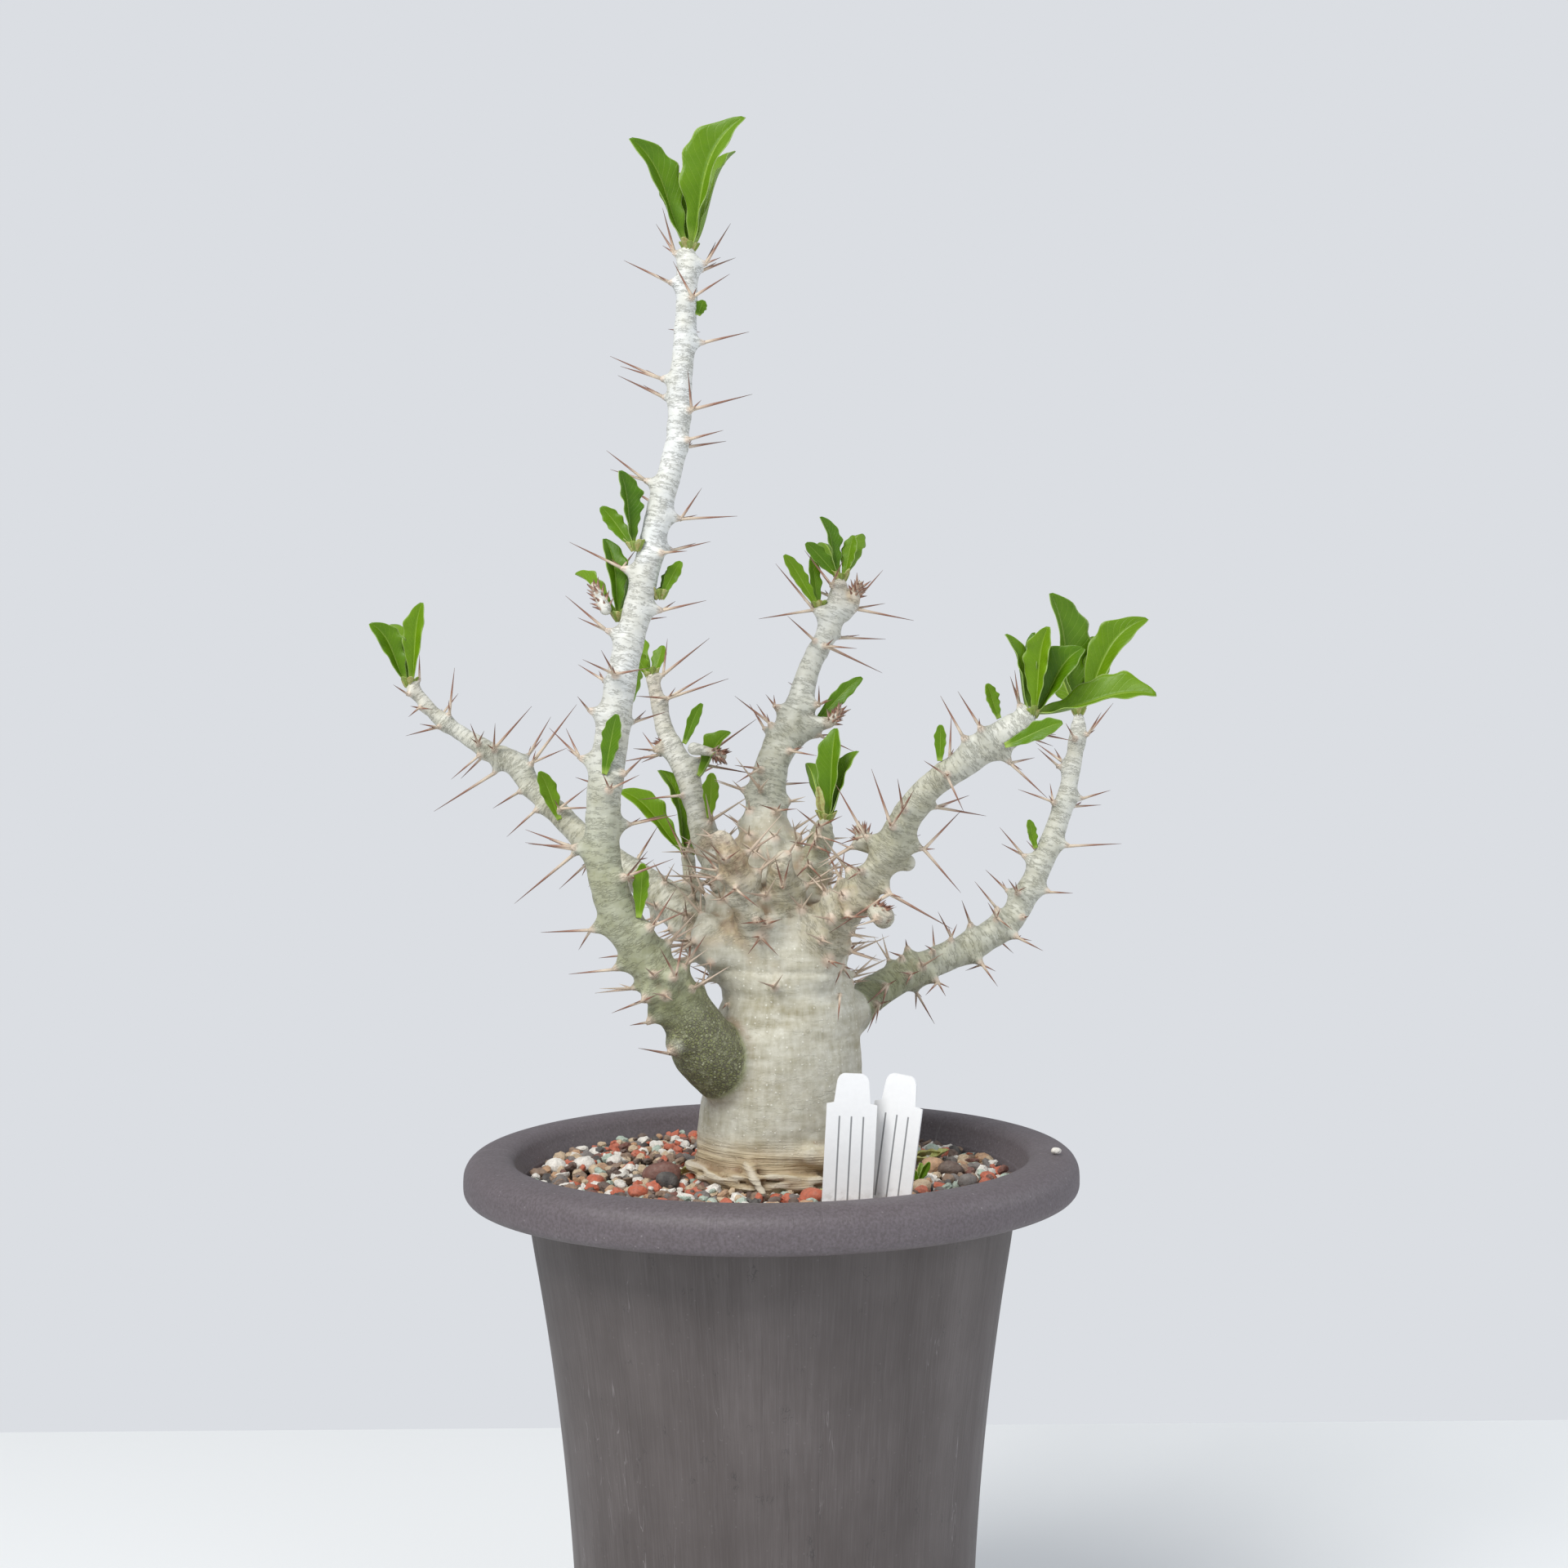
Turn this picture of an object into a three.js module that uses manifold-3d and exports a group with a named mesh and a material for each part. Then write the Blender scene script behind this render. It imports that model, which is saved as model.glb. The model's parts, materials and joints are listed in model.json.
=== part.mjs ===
// Potted kudu lily: a thorny, swollen-trunked succulent with wavy leaves, in a round planter.
// Millimetres, +Z up. The origin is the centre of the pot's underside; +X is to the viewer's
// right and +Y points away from the viewer.

import * as THREE from 'three';
import { mergeVertices } from 'three/addons/utils/BufferGeometryUtils.js';
import Module from 'manifold-3d';

const wasm = await Module();
wasm.setup();
const { Manifold } = wasm;

// Driving sizes of the planter and what it holds
const POT_HEIGHT = 226;
const RIM_RADIUS = 105;
const CREST_RADIUS = 93.5;
const MOUTH_RADIUS = 87.2;
const BASE_RADIUS = 66;
const WALL = 3;
const FLOOR = 5;
const POT_SIDES = 36;
const DRAIN_RADIUS = 5;
const DRAIN_RING = 42;
const DRAIN_COUNT = 6;
const GAP = 0.3;
const SOIL_LEVEL = 215;
const GRAVEL_STEP = 8.2;
const GRAVEL_RISE = 2.6;
const GRAVEL_DIP = 1.2;
const GRAVEL_SCATTER = 0.45;

// Driving sizes of the plant
const GOLDEN_TURN = THREE.MathUtils.degToRad(137.5);
const STEM_SIDES = 8;
const SPINE_RADIUS = 0.68;
const SPINE_SPREAD = 0.5;
const SPINE_LIFT = 0.35;
const SPINE_SINK = 1.6;
const SPINE_CLEARANCE = 1.6;
const BLADE_THICKNESS = 0.7;
const STALK_HALF_WIDTH = 0.8;
const BLADE_ARCH = 0.1;
const BLADE_TROUGH = 0.22;
const BLADE_RIPPLE = 0.1;
const SMALL_BLADE = 7;
const BUD_RADIUS = 2.3;
const TAG_THICKNESS = 1;
const TAG_WIDTH = 16;

// The plant's lines are drawn as they show from this point, against the pot's axis plane
const VIEW_POINT = new THREE.Vector3(5, -690, 351);

// Centre lines of the woody parts, base to tip: [x, depth, z, radius], drawn on the axis plane
const TRUNK_LINE = [
  [3, 0, 186, 24], [3, 0, 203, 28.5], [3, 0, 216, 29.5], [3.5, 0, 235, 28.3], [4.5, 0, 255, 26.5],
  [6, 0, 275, 23.5], [5, 1, 292, 20.5], [2, 3, 308, 17.5], [0, 5, 322, 13], [-1, 7, 332, 8.8],
];
const STEMS = {
  stem_tall: {
    line: [
      [-6, -9, 249, 11], [-20, -20, 259, 10.4], [-29, -27, 272, 9], [-40, -32, 288, 7],
      [-51, -35, 305, 6.6], [-57, -37, 323, 5.8], [-57, -37, 345, 5.6], [-54, -35, 367, 5.6],
      [-50, -33, 390, 5], [-44, -30, 415, 4.6], [-37, -28, 445, 4.3], [-31, -26, 468, 3.8],
      [-29, -25, 491, 3.8], [-27, -24, 514, 3.5], [-26.5, -24, 530, 3.7], [-26, -24, 535, 2],
    ],
    start: 0.09, rings: 28, pitch: 9.8, first: 34, phase: 0.6, spine: 19, seed: 1,
  },
  stem_back_left: {
    line: [
      [-4, 12, 303, 8.5], [-13, 19, 318, 6.6], [-22, 26, 333, 5.2], [-25, 31, 345, 4.4],
      [-30, 36, 358, 4.2], [-35, 40, 368, 3.4], [-38, 43, 380, 2.9], [-40, 44, 388, 2.2],
    ],
    start: 0.27, rings: 10, pitch: 8, first: 32, phase: 2.2, spine: 18, seed: 2,
  },
  stem_centre: {
    line: [
      [0, 6, 314, 10], [-1, 9, 330, 8.4], [-1, 12, 345, 6.8], [2, 15, 360, 5.8], [8, 18, 370, 6.2],
      [11, 20, 379, 5], [14, 22, 390, 3.8], [20, 24, 402, 3.7], [23, 25, 410, 4.1],
      [25, 26, 417, 3.2], [25.5, 26, 421, 1.8],
    ],
    start: 0.2, rings: 13, pitch: 7.4, first: 26, phase: 0.4, spine: 16, seed: 3,
  },
  stem_right_front: {
    line: [
      [8, -6, 290, 9.5], [19, -15, 302, 7.8], [29, -22, 311, 6], [38, -27, 322, 5.1],
      [43, -30, 330, 6], [48, -33, 340, 5], [56, -36, 350, 4.4], [65, -39, 356, 4.5],
      [76, -42, 364, 5.2], [84, -44, 369, 5.2], [90, -45, 374, 2.6],
    ],
    start: 0.2, rings: 14, pitch: 7.4, first: 29, phase: 1.4, spine: 18, seed: 4,
  },
  stem_right_low: {
    line: [
      [12, 5, 259, 8.5], [26, 15, 271, 7], [36, 24, 279, 6.2], [47, 31, 285, 5.6],
      [59, 37, 290, 5.2], [72, 42, 296, 5.3], [83, 46, 304, 4.9], [90, 48, 315, 4.5],
      [97, 50, 330, 4.2], [102, 52, 344, 3.5], [105, 53, 357, 3.1], [107, 54, 370, 2.9],
      [107, 54, 374, 1.7],
    ],
    start: 0.17, rings: 18, pitch: 9.2, first: 35, phase: 0.2, spine: 15, seed: 5,
  },
  stem_left_back: {
    line: [
      [-8, 9, 286, 10], [-20, 18, 297, 8.4], [-30, 27, 307, 7.4], [-41, 35, 316, 6],
      [-52, 42, 324, 5], [-64, 48, 333, 4.6], [-75, 53, 344, 4], [-82, 56, 351, 3.8],
      [-88, 58, 359, 4.4], [-96, 60, 363, 3.6], [-107, 62, 370, 2.8], [-115, 63, 376, 2.5],
      [-120, 64, 382, 2.4], [-123, 64, 386, 1.9],
    ],
    start: 0.2, rings: 18, pitch: 8.6, first: 38, phase: 0.9, spine: 16, seed: 6,
  },
};

// Short shoots that stay part of the trunk
const SHOOTS = {
  crown_right: {
    line: [[12, -3, 310, 7], [15.5, -3, 324, 4.6], [18.5, -2, 335, 3.7], [19.5, -2, 338, 2]],
    pitch: 8, first: 14, phase: 1, spine: 14, seed: 7,
  },
  crown_left: {
    line: [[-3, -11, 300, 8], [-9, -18, 315, 5.2], [-14, -22, 327, 4.2], [-16, -23, 333, 2.2]],
    pitch: 8, first: 15, phase: 2.6, spine: 14, seed: 8,
  },
  crown_front: {
    line: [[5, -10, 304, 8], [5, -16, 315, 5.4], [4, -20, 322, 3.6], [4, -21.5, 325, 2]],
    pitch: 8, first: 11, phase: 3.4, spine: 11, seed: 9,
  },
  back_twig: {
    line: [[-18, 26, 297, 5], [-24, 32, 307, 3.4], [-27, 35, 317, 2.6], [-28, 37, 326, 2.3]],
    pitch: 7, first: 16, phase: 0.5, spine: 11, seed: 10,
  },
  back_knob: {
    line: [[8, 12, 294, 9], [13, 22, 308, 6.4], [16, 29, 320, 4.8], [17, 33, 331, 2.4]],
    pitch: 8, first: 16, phase: 5, spine: 13, seed: 11,
  },
};

// Leaves by node: the wood they grow on, at its tip or at a height and turn, and their blades.
// A blade is its tip [x, depth from its base, z], width, roll in degrees, bend and waves.
const LEAVES = {
  leaves_tall_tip: {
    on: 'stem_tall',
    blades: [
      [[-46, -6, 574], 12, -12, 3, 3], [[-6.5, -8, 581], 17, 10, -4, 3],
      [[-10, 12, 569], 13, -35, 4, 3], [[-27, 4, 563], 6, 40, 2, 2],
      [[-37, 22, 562], 12, 150, 4, 3],
    ],
  },
  leaves_tall_left: {
    on: 'stem_tall', height: 427, turn: 235,
    blades: [[[-50.5, -4, 459.5], 9.5, 20, 2, 4], [[-57, 3, 447], 6, -30, 2, 3]],
  },
  leaves_tall_spur: {
    on: 'stem_tall', height: 404, turn: 300,
    blades: [
      [[-56, 4, 436], 8, -25, -2, 3], [[-49.5, 9, 424], 6, 35, 2, 2],
      [[-66, 10, 424], 7, 120, 2, 3],
    ],
  },
  leaves_tall_right: {
    on: 'stem_tall', height: 413, turn: 80,
    blades: [[[-29.5, -1, 428], 5, 10, 1, 2], [[-33, 4, 425.5], 4, -30, 1, 2]],
  },
  leaf_tall_front: {
    on: 'stem_tall', height: 352, turn: 180,
    blades: [[[-52, -4, 375.5], 6.6, 15, 1.5, 3]],
  },
  leaf_tall_low: {
    on: 'stem_tall', height: 304, turn: 130,
    blades: [[[-43.5, -3, 324], 5.8, 5, 1.5, 3]],
  },
  leaf_tall_thin: {
    on: 'stem_tall', height: 505, turn: 110,
    blades: [[[-21, -1, 518], 4, 50, 0.8, 2]],
  },
  leaf_tall_back: {
    on: 'stem_tall', height: 371, turn: 15,
    blades: [[[-46, 20, 392], 9, 165, 3, 3]],
  },
  leaves_back_left_tip: {
    on: 'stem_back_left',
    blades: [
      [[-46, -3, 397], 6, 20, 2, 2], [[-36, 4, 399], 6, -30, 2, 2],
      [[-48, 14, 402], 8, 160, 3, 2],
    ],
  },
  leaf_back_left_thin: {
    on: 'stem_back_left', height: 362, turn: 100,
    blades: [[[-22.8, -1, 379], 4.4, 20, 1, 2]],
  },
  leaf_back_left_round: {
    on: 'stem_back_left', height: 350, turn: 120,
    blades: [[[-13, -2, 369], 9.5, -25, 2, 2]],
  },
  leaf_back_left_low: {
    on: 'stem_back_left', height: 335, turn: 140,
    blades: [[[-19.5, -2, 355], 6.2, 12, 1.5, 2]],
  },
  leaves_back_twig: {
    on: 'back_twig',
    blades: [
      [[-51.5, 3, 349], 10, -8, 3, 3], [[-38, 5, 356], 12, 20, -2, 3],
      [[-22, 20, 350], 11, 170, 4, 3],
    ],
  },
  leaves_centre_left: {
    on: 'stem_centre', height: 411, turn: 270,
    blades: [[[6, -2, 430], 5.5, -10, 1.5, 3], [[15.5, 4, 429.5], 5, 30, 1, 2]],
  },
  leaves_centre_tip: {
    on: 'stem_centre',
    blades: [
      [[13.5, -4, 434], 6, -15, 1.5, 2], [[18.5, -1, 443], 7, 15, 2, 3],
      [[30, 2, 436.5], 6, -25, 1, 3], [[33, 13, 437], 8, 160, 2, 3],
      [[18, 15, 434], 7, 200, 2, 3],
    ],
  },
  leaf_centre_side: {
    on: 'stem_centre', height: 372, turn: 90,
    blades: [[[32.5, 0, 387.5], 5.5, 30, -1.5, 3]],
  },
  leaves_crown_right: {
    on: 'crown_right',
    blades: [
      [[23.5, 5, 370], 10, 12, 2, 3], [[31, 8, 362], 8.5, -30, 2, 3],
      [[13, 14, 358], 7, 150, 2, 2],
    ],
  },
  leaves_right_front_tip: {
    on: 'stem_right_front',
    blades: [
      [[82, -2, 402], 7, 25, 1.5, 3], [[92, 4, 402.5], 7.5, -35, 1.5, 3],
      [[97, -6, 404.5], 9.5, 10, 1.5, 4], [[109, -3, 397], 13, 8, 3, 3],
      [[134, -6, 380.5], 14, -30, 6, 3], [[99, 20, 394], 11, 165, 3, 3],
    ],
  },
  leaf_right_front_under: {
    on: 'stem_right_front', height: 365, turn: 150,
    blades: [[[101.5, -6, 371.5], 6.5, -10, 2, 2]],
  },
  leaf_right_front_small: {
    on: 'stem_right_front', height: 366, turn: 290,
    blades: [[[75.5, -2, 385], 4.8, 15, 1, 3]],
  },
  leaf_right_front_bud: {
    on: 'stem_right_front', height: 353, turn: 260,
    blades: [[[59.5, -1, 371], 4, 0, 0.8, 2]],
  },
  leaves_right_low_tip: {
    on: 'stem_right_low',
    blades: [
      [[97.5, -4, 416], 18.5, 12, 4, 3], [[112.5, 2, 401], 8, -30, 2, 3], [[131, -5, 407], 14, 15, -4, 3],
      [[118, 19, 398], 12, 165, 4, 3], [[92, 15, 396], 11, 195, 4, 3],
    ],
  },
  leaf_right_low_bud: {
    on: 'stem_right_low', height: 323, turn: 250,
    blades: [[[89.5, -1, 338], 4, 15, 0.8, 2]],
  },
  leaves_left_back_tip: {
    on: 'stem_left_back',
    blades: [
      [[-137, -2, 407.5], 10.5, -12, 2.5, 3], [[-119, 0, 414.5], 9, 55, 1.5, 3],
      [[-130, 16, 407], 9, 165, 3, 3],
    ],
  },
  leaf_left_back_side: {
    on: 'stem_left_back', height: 337, turn: 190,
    blades: [[[-79, -4, 356], 6.6, -20, 1.5, 2]],
  },
};

// Two plain writing tags: foot centre on the gravel, lean to the right and turn about the upright
const TAGS = {
  tag_left: { foot: [24, -57.5, 216], lean: 3.4, turn: 2, shoulder: 33.6, top: 43.4, buried: 30 },
  tag_right: { foot: [36.6, -52, 216], lean: 8.2, turn: -22, shoulder: 33, top: 42.8, buried: 30 },
};

function unit(index, seed) {
  const value = Math.abs(Math.sin(index * 12.9898 + seed * 78.233) * 43758.5453);
  return value - Math.floor(value);
}

function solidOf(geometry) {
  geometry.deleteAttribute('normal');
  geometry.deleteAttribute('uv');
  const merged = mergeVertices(geometry, 1e-4);
  const vertProperties = merged.attributes.position.array;
  const triVerts = new Uint32Array(merged.index.array);
  return new Manifold(new wasm.Mesh({ numProp: 3, vertProperties, triVerts }));
}

function largest(solid) {
  const pieces = solid.decompose();
  return pieces.reduce((best, piece) => (piece.volume() > best.volume() ? piece : best));
}

function meshOf(name, solid, material) {
  const { vertProperties, triVerts } = solid.getMesh();
  const geometry = new THREE.BufferGeometry();
  geometry.setAttribute('position', new THREE.BufferAttribute(vertProperties, 3));
  geometry.setIndex(new THREE.BufferAttribute(triVerts, 1));
  geometry.computeVertexNormals();
  const mesh = new THREE.Mesh(geometry, material);
  mesh.name = name;
  return mesh;
}

// Moves a place drawn on the axis plane to its real depth, along the line from the view point
function atDepth([x, depth, z]) {
  const place = new THREE.Vector3(x, 0, z);
  return place.sub(VIEW_POINT).multiplyScalar((depth - VIEW_POINT.y) / -VIEW_POINT.y).add(VIEW_POINT);
}

// A closed sheet: the same grid of triangles on its upper and lower side, and a strip round it
function sheetGeometry(rows, columns, upper, lower) {
  const positions = [];
  const index = [];
  for (const side of [upper, lower]) {
    for (let row = 0; row <= rows; row += 1) {
      for (let column = 0; column <= columns; column += 1) {
        positions.push(...side(row, column).toArray());
      }
    }
  }
  const count = (rows + 1) * (columns + 1);
  const at = (row, column) => row * (columns + 1) + column;
  const quad = (a, b, c, d) => index.push(a, b, c, a, c, d);
  for (let row = 0; row < rows; row += 1) {
    for (let column = 0; column < columns; column += 1) {
      const [a, b] = [at(row, column), at(row, column + 1)];
      const [c, d] = [at(row + 1, column + 1), at(row + 1, column)];
      index.push(a, b, c, a, c, d);
      index.push(count + a, count + c, count + b, count + a, count + d, count + c);
    }
  }
  for (let row = 0; row < rows; row += 1) {
    quad(at(row, 0), at(row + 1, 0), count + at(row + 1, 0), count + at(row, 0));
    quad(at(row + 1, columns), at(row, columns), count + at(row, columns), count + at(row + 1, columns));
  }
  for (let column = 0; column < columns; column += 1) {
    quad(at(0, column + 1), at(0, column), count + at(0, column), count + at(0, column + 1));
    quad(at(rows, column), at(rows, column + 1), count + at(rows, column + 1), count + at(rows, column));
  }
  const geometry = new THREE.BufferGeometry();
  geometry.setAttribute('position', new THREE.Float32BufferAttribute(positions, 3));
  geometry.setIndex(index);
  return geometry;
}

// The planter

function bodyRadius(z) {
  const flare = Math.max(z - 20, 0) / 188;
  return BASE_RADIUS + 1 + 17.2 * flare ** 2.1;
}

function potProfile() {
  const outer = [12, 85, 145, 180, 208].map((z) => [bodyRadius(z), z]);
  return [
    [0, 0], [BASE_RADIUS - 1.5, 0], ...outer, [85.5, 219], [99, 218], [100, 212.4], [103, 212.2],
    [RIM_RADIUS, 214.5], [RIM_RADIUS, 220.5], [RIM_RADIUS - 2.4, 224.4], [98.5, POT_HEIGHT - 0.2],
    [CREST_RADIUS, POT_HEIGHT], [89.6, 225.2], ...innerProfile(0), [0, FLOOR],
  ];
}

// The inside of the wall from the mouth down, drawn in by a gap
function innerProfile(gap) {
  const inner = [205, 165, 110, 12].map((z) => [bodyRadius(z) - WALL - gap, z]);
  return [[MOUTH_RADIUS - gap, 222.5], ...inner, [BASE_RADIUS - WALL - gap - 1, FLOOR + gap]];
}

function latheSolid(profile, sides) {
  return solidOf(new THREE.LatheGeometry(profile.map(([r, z]) => new THREE.Vector2(r, z)), sides)
    .rotateX(Math.PI / 2));
}

function drainHole(index) {
  const turn = (index / DRAIN_COUNT) * 2 * Math.PI;
  const hole = new THREE.CylinderGeometry(DRAIN_RADIUS, DRAIN_RADIUS, 4 * FLOOR, 8).rotateX(Math.PI / 2);
  return solidOf(hole.translate(DRAIN_RING * Math.cos(turn), DRAIN_RING * Math.sin(turn), FLOOR));
}

function makePot() {
  const holes = Array.from({ length: DRAIN_COUNT }, (_, index) => drainHole(index));
  return latheSolid(potProfile(), POT_SIDES).subtract(Manifold.union(holes));
}

// Gravel: a lattice whose every third point stands up as a stone between six low ones
function gravelHeight(x, y, stone, index) {
  const level = SOIL_LEVEL + 0.02 * y - 0.01 * x;
  const rise = stone ? GRAVEL_RISE * (0.5 + unit(index, 31)) : -GRAVEL_DIP * unit(index, 32);
  return level + rise;
}

function gravelAir() {
  const rows = 30;
  const columns = 44;
  const place = (row, column) => {
    const index = row * columns + column;
    const stone = (column + row) % 3 === 0;
    const x = column - columns / 2 - (row - rows / 2) / 2 + (unit(index, 33) - 0.5) * GRAVEL_SCATTER;
    const y = (row - rows / 2) * Math.sqrt(0.75) + (unit(index, 34) - 0.5) * GRAVEL_SCATTER;
    const point = new THREE.Vector3(x, y, 0).multiplyScalar(GRAVEL_STEP);
    return point.setZ(gravelHeight(point.x, point.y, stone, index));
  };
  const top = (row, column) => place(row, column).setZ(SOIL_LEVEL + 40);
  return solidOf(sheetGeometry(rows, columns, top, place));
}

function makeSoil(trunkHole, tagHoles) {
  const body = latheSolid([[0, FLOOR + GAP], ...innerProfile(GAP).reverse(), [0, 222.5]], POT_SIDES);
  return largest(body.subtract(gravelAir()).subtract(trunkHole).subtract(Manifold.union(tagHoles)));
}

function makeRimPebble() {
  const stone = new THREE.IcosahedronGeometry(1.7, 0).scale(1, 0.8, 0.72);
  return solidOf(stone.translate(95.6, -18.6, POT_HEIGHT + GAP + 1.1));
}

// Writing tags
function tagGeometry(tag, thickness, grow) {
  const half = TAG_WIDTH / 2 + grow;
  const neck = half - 2.2;
  const outline = new THREE.Shape();
  outline.moveTo(0, -tag.buried - grow);
  outline.lineTo(half, -tag.buried + 9);
  outline.lineTo(half, tag.shoulder);
  outline.lineTo(neck, tag.shoulder + 0.6);
  outline.lineTo(neck - 1, tag.top - 1.4);
  outline.quadraticCurveTo(neck - 1.2, tag.top, neck - 3, tag.top);
  outline.lineTo(3 - neck, tag.top);
  outline.quadraticCurveTo(1.2 - neck, tag.top, 1 - neck, tag.top - 1.4);
  outline.lineTo(-neck, tag.shoulder + 0.6);
  outline.lineTo(-half, tag.shoulder);
  outline.lineTo(-half, -tag.buried + 9);
  outline.closePath();
  const settings = { depth: thickness, bevelEnabled: false, curveSegments: 2 };
  const plate = new THREE.ExtrudeGeometry(outline, settings);
  plate.translate(0, 0, -thickness / 2).rotateX(Math.PI / 2);
  plate.rotateY(THREE.MathUtils.degToRad(tag.lean)).rotateZ(THREE.MathUtils.degToRad(tag.turn));
  return plate.translate(...tag.foot);
}

// Woody parts

class CentreLine {
  constructor(line) {
    this.radii = line.map((point) => point[3]);
    this.curve = new THREE.CatmullRomCurve3(line.map(atDepth));
    this.curve.arcLengthDivisions = 400;
    this.length = this.curve.getLength();
  }

  // The share of the length at which the line first reaches a height
  shareAtHeight(height) {
    let share = 0;
    while (share < 1 && this.curve.getPointAt(share).z < height) {
      share += 0.004;
    }
    return Math.min(share, 1);
  }

  // Place, direction, radius and two cross directions at a share of the length
  frame(share) {
    const u = THREE.MathUtils.clamp(share, 0, 1);
    const step = this.curve.getUtoTmapping(u) * (this.radii.length - 1);
    const low = Math.min(Math.floor(step), this.radii.length - 2);
    const radius = THREE.MathUtils.lerp(this.radii[low], this.radii[low + 1], step - low);
    const along = this.curve.getTangentAt(u);
    const back = new THREE.Vector3(0, 1, 0).addScaledVector(along, -along.y).normalize();
    const side = back.clone().cross(along);
    return { place: this.curve.getPointAt(u), along, radius, back, side };
  }
}

function tubeSolid(centreLine, from, to, sides, rings, grow = 0) {
  const tube = new THREE.CylinderGeometry(1, 1, 1, sides, rings);
  const position = tube.attributes.position;
  const point = new THREE.Vector3();
  for (let index = 0; index < position.count; index += 1) {
    const share = from + (to - from) * (position.getY(index) + 0.5);
    const { place, radius, back, side } = centreLine.frame(share);
    point.copy(place);
    point.addScaledVector(back, position.getX(index) * (radius + grow));
    point.addScaledVector(side, position.getZ(index) * (radius + grow));
    position.setXYZ(index, point.x, point.y, point.z);
  }
  return solidOf(tube);
}

// Spine pads follow a golden-angle spiral; each carries two long spines and a short one
function padsOf(stem, centreLine) {
  const pads = [];
  const last = centreLine.length - 3;
  for (let k = 0, s = stem.first; s < last; k += 1) {
    const { place, along, radius, back, side } = centreLine.frame(s / centreLine.length);
    const angle = stem.phase + k * GOLDEN_TURN;
    const out = back.clone().multiplyScalar(Math.cos(angle)).addScaledVector(side, Math.sin(angle));
    const across = along.clone().cross(out);
    const height = 1 + 0.38 * radius * (0.7 + 0.6 * unit(k, stem.seed));
    const tip = place.clone().addScaledVector(out, radius + height);
    const spineLength = stem.spine * (0.75 + 0.5 * unit(k, stem.seed + 20));
    pads.push({ s, place, along, out, across, radius, height, tip, spineLength });
    s += stem.pitch * (0.85 + 0.3 * unit(k, stem.seed + 40));
  }
  return pads;
}

function padSolid(pad) {
  const sunk = pad.radius * 0.55;
  const block = new THREE.BoxGeometry(2, pad.height + sunk, 2).translate(0, (pad.height + sunk) / 2, 0);
  const foot = Math.min(0.62 * pad.radius, 2.5);
  const position = block.attributes.position;
  for (let index = 0; index < position.count; index += 1) {
    const top = position.getY(index) > 1;
    position.setX(index, position.getX(index) * (top ? 1.6 : foot));
    position.setZ(index, position.getZ(index) * (top ? 1.1 : foot));
  }
  const basis = new THREE.Matrix4().makeBasis(pad.across, pad.out, pad.across.clone().cross(pad.out));
  const root = pad.place.clone().addScaledVector(pad.out, pad.radius - sunk);
  return solidOf(block.applyMatrix4(basis.setPosition(root)));
}

function spinesOf(pad) {
  const spines = [];
  for (const turn of [-1, 1]) {
    const aim = pad.out.clone().addScaledVector(pad.across, turn * SPINE_SPREAD);
    aim.addScaledVector(pad.along, SPINE_LIFT).normalize();
    const root = pad.tip.clone().addScaledVector(pad.across, turn * 0.8).addScaledVector(aim, -SPINE_SINK);
    spines.push({ root, aim, length: pad.spineLength + SPINE_SINK });
  }
  return spines;
}

function spineSolid({ root, aim, length }) {
  const needle = new THREE.ConeGeometry(SPINE_RADIUS, length, 3).translate(0, length / 2, 0);
  const turn = new THREE.Quaternion().setFromUnitVectors(new THREE.Vector3(0, 1, 0), aim);
  return solidOf(needle.applyQuaternion(turn).translate(...root.toArray()));
}

// Leaves

function leafHalfWidth(t, width) {
  const swell = Math.sin(Math.PI * Math.min(t ** 1.5 * 0.98 + 0.01, 1)) ** 0.75;
  return STALK_HALF_WIDTH * (1 - 0.5 * t) + swell * (width / 2 - 0.4);
}

// Where a node's leaves grow: beyond the wood's tip, or on its side at a height and turn
function leafRoot(plan, centreLine) {
  if (plan.height === undefined) {
    const { place, along } = centreLine.frame(1);
    return place.clone().addScaledVector(along, BUD_RADIUS * 0.6);
  }
  const { place, along, radius, back, side } = centreLine.frame(centreLine.shareAtHeight(plan.height));
  const turn = THREE.MathUtils.degToRad(plan.turn);
  const out = back.clone().multiplyScalar(Math.cos(turn)).addScaledVector(side, Math.sin(turn));
  const reach = radius + (plan.blades.length > 1 ? BUD_RADIUS * 0.6 : 2 * GAP);
  return place.clone().addScaledVector(out, reach).addScaledVector(along, 1.5);
}

function leafFrame(plan, root, [tipAt, width, roll, bend, waves]) {
  const tip = atDepth([tipAt[0], root.y + tipAt[1], tipAt[2]]);
  const outward = tip.clone().sub(root).setZ(0).normalize();
  const spread = plan.blades.length > 1 ? BUD_RADIUS / 2 : 0;
  const base = root.clone().addScaledVector(outward, spread);
  const reach = tip.sub(base);
  const along = reach.clone().normalize();
  const face = new THREE.Vector3(0, -1, 0).addScaledVector(along, along.y).normalize();
  face.applyAxisAngle(along, THREE.MathUtils.degToRad(roll));
  const side = along.clone().cross(face);
  const rise = new THREE.Vector3(0, 0, 1).addScaledVector(along, -along.z);
  const bow = width < SMALL_BLADE ? 0.3 * BLADE_ARCH : BLADE_ARCH;
  const arched = rise.setLength(bow * reach.length() * Math.min(1, 3 * rise.length()));
  return { base, reach, face, side, width, bend, waves, arched };
}

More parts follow.
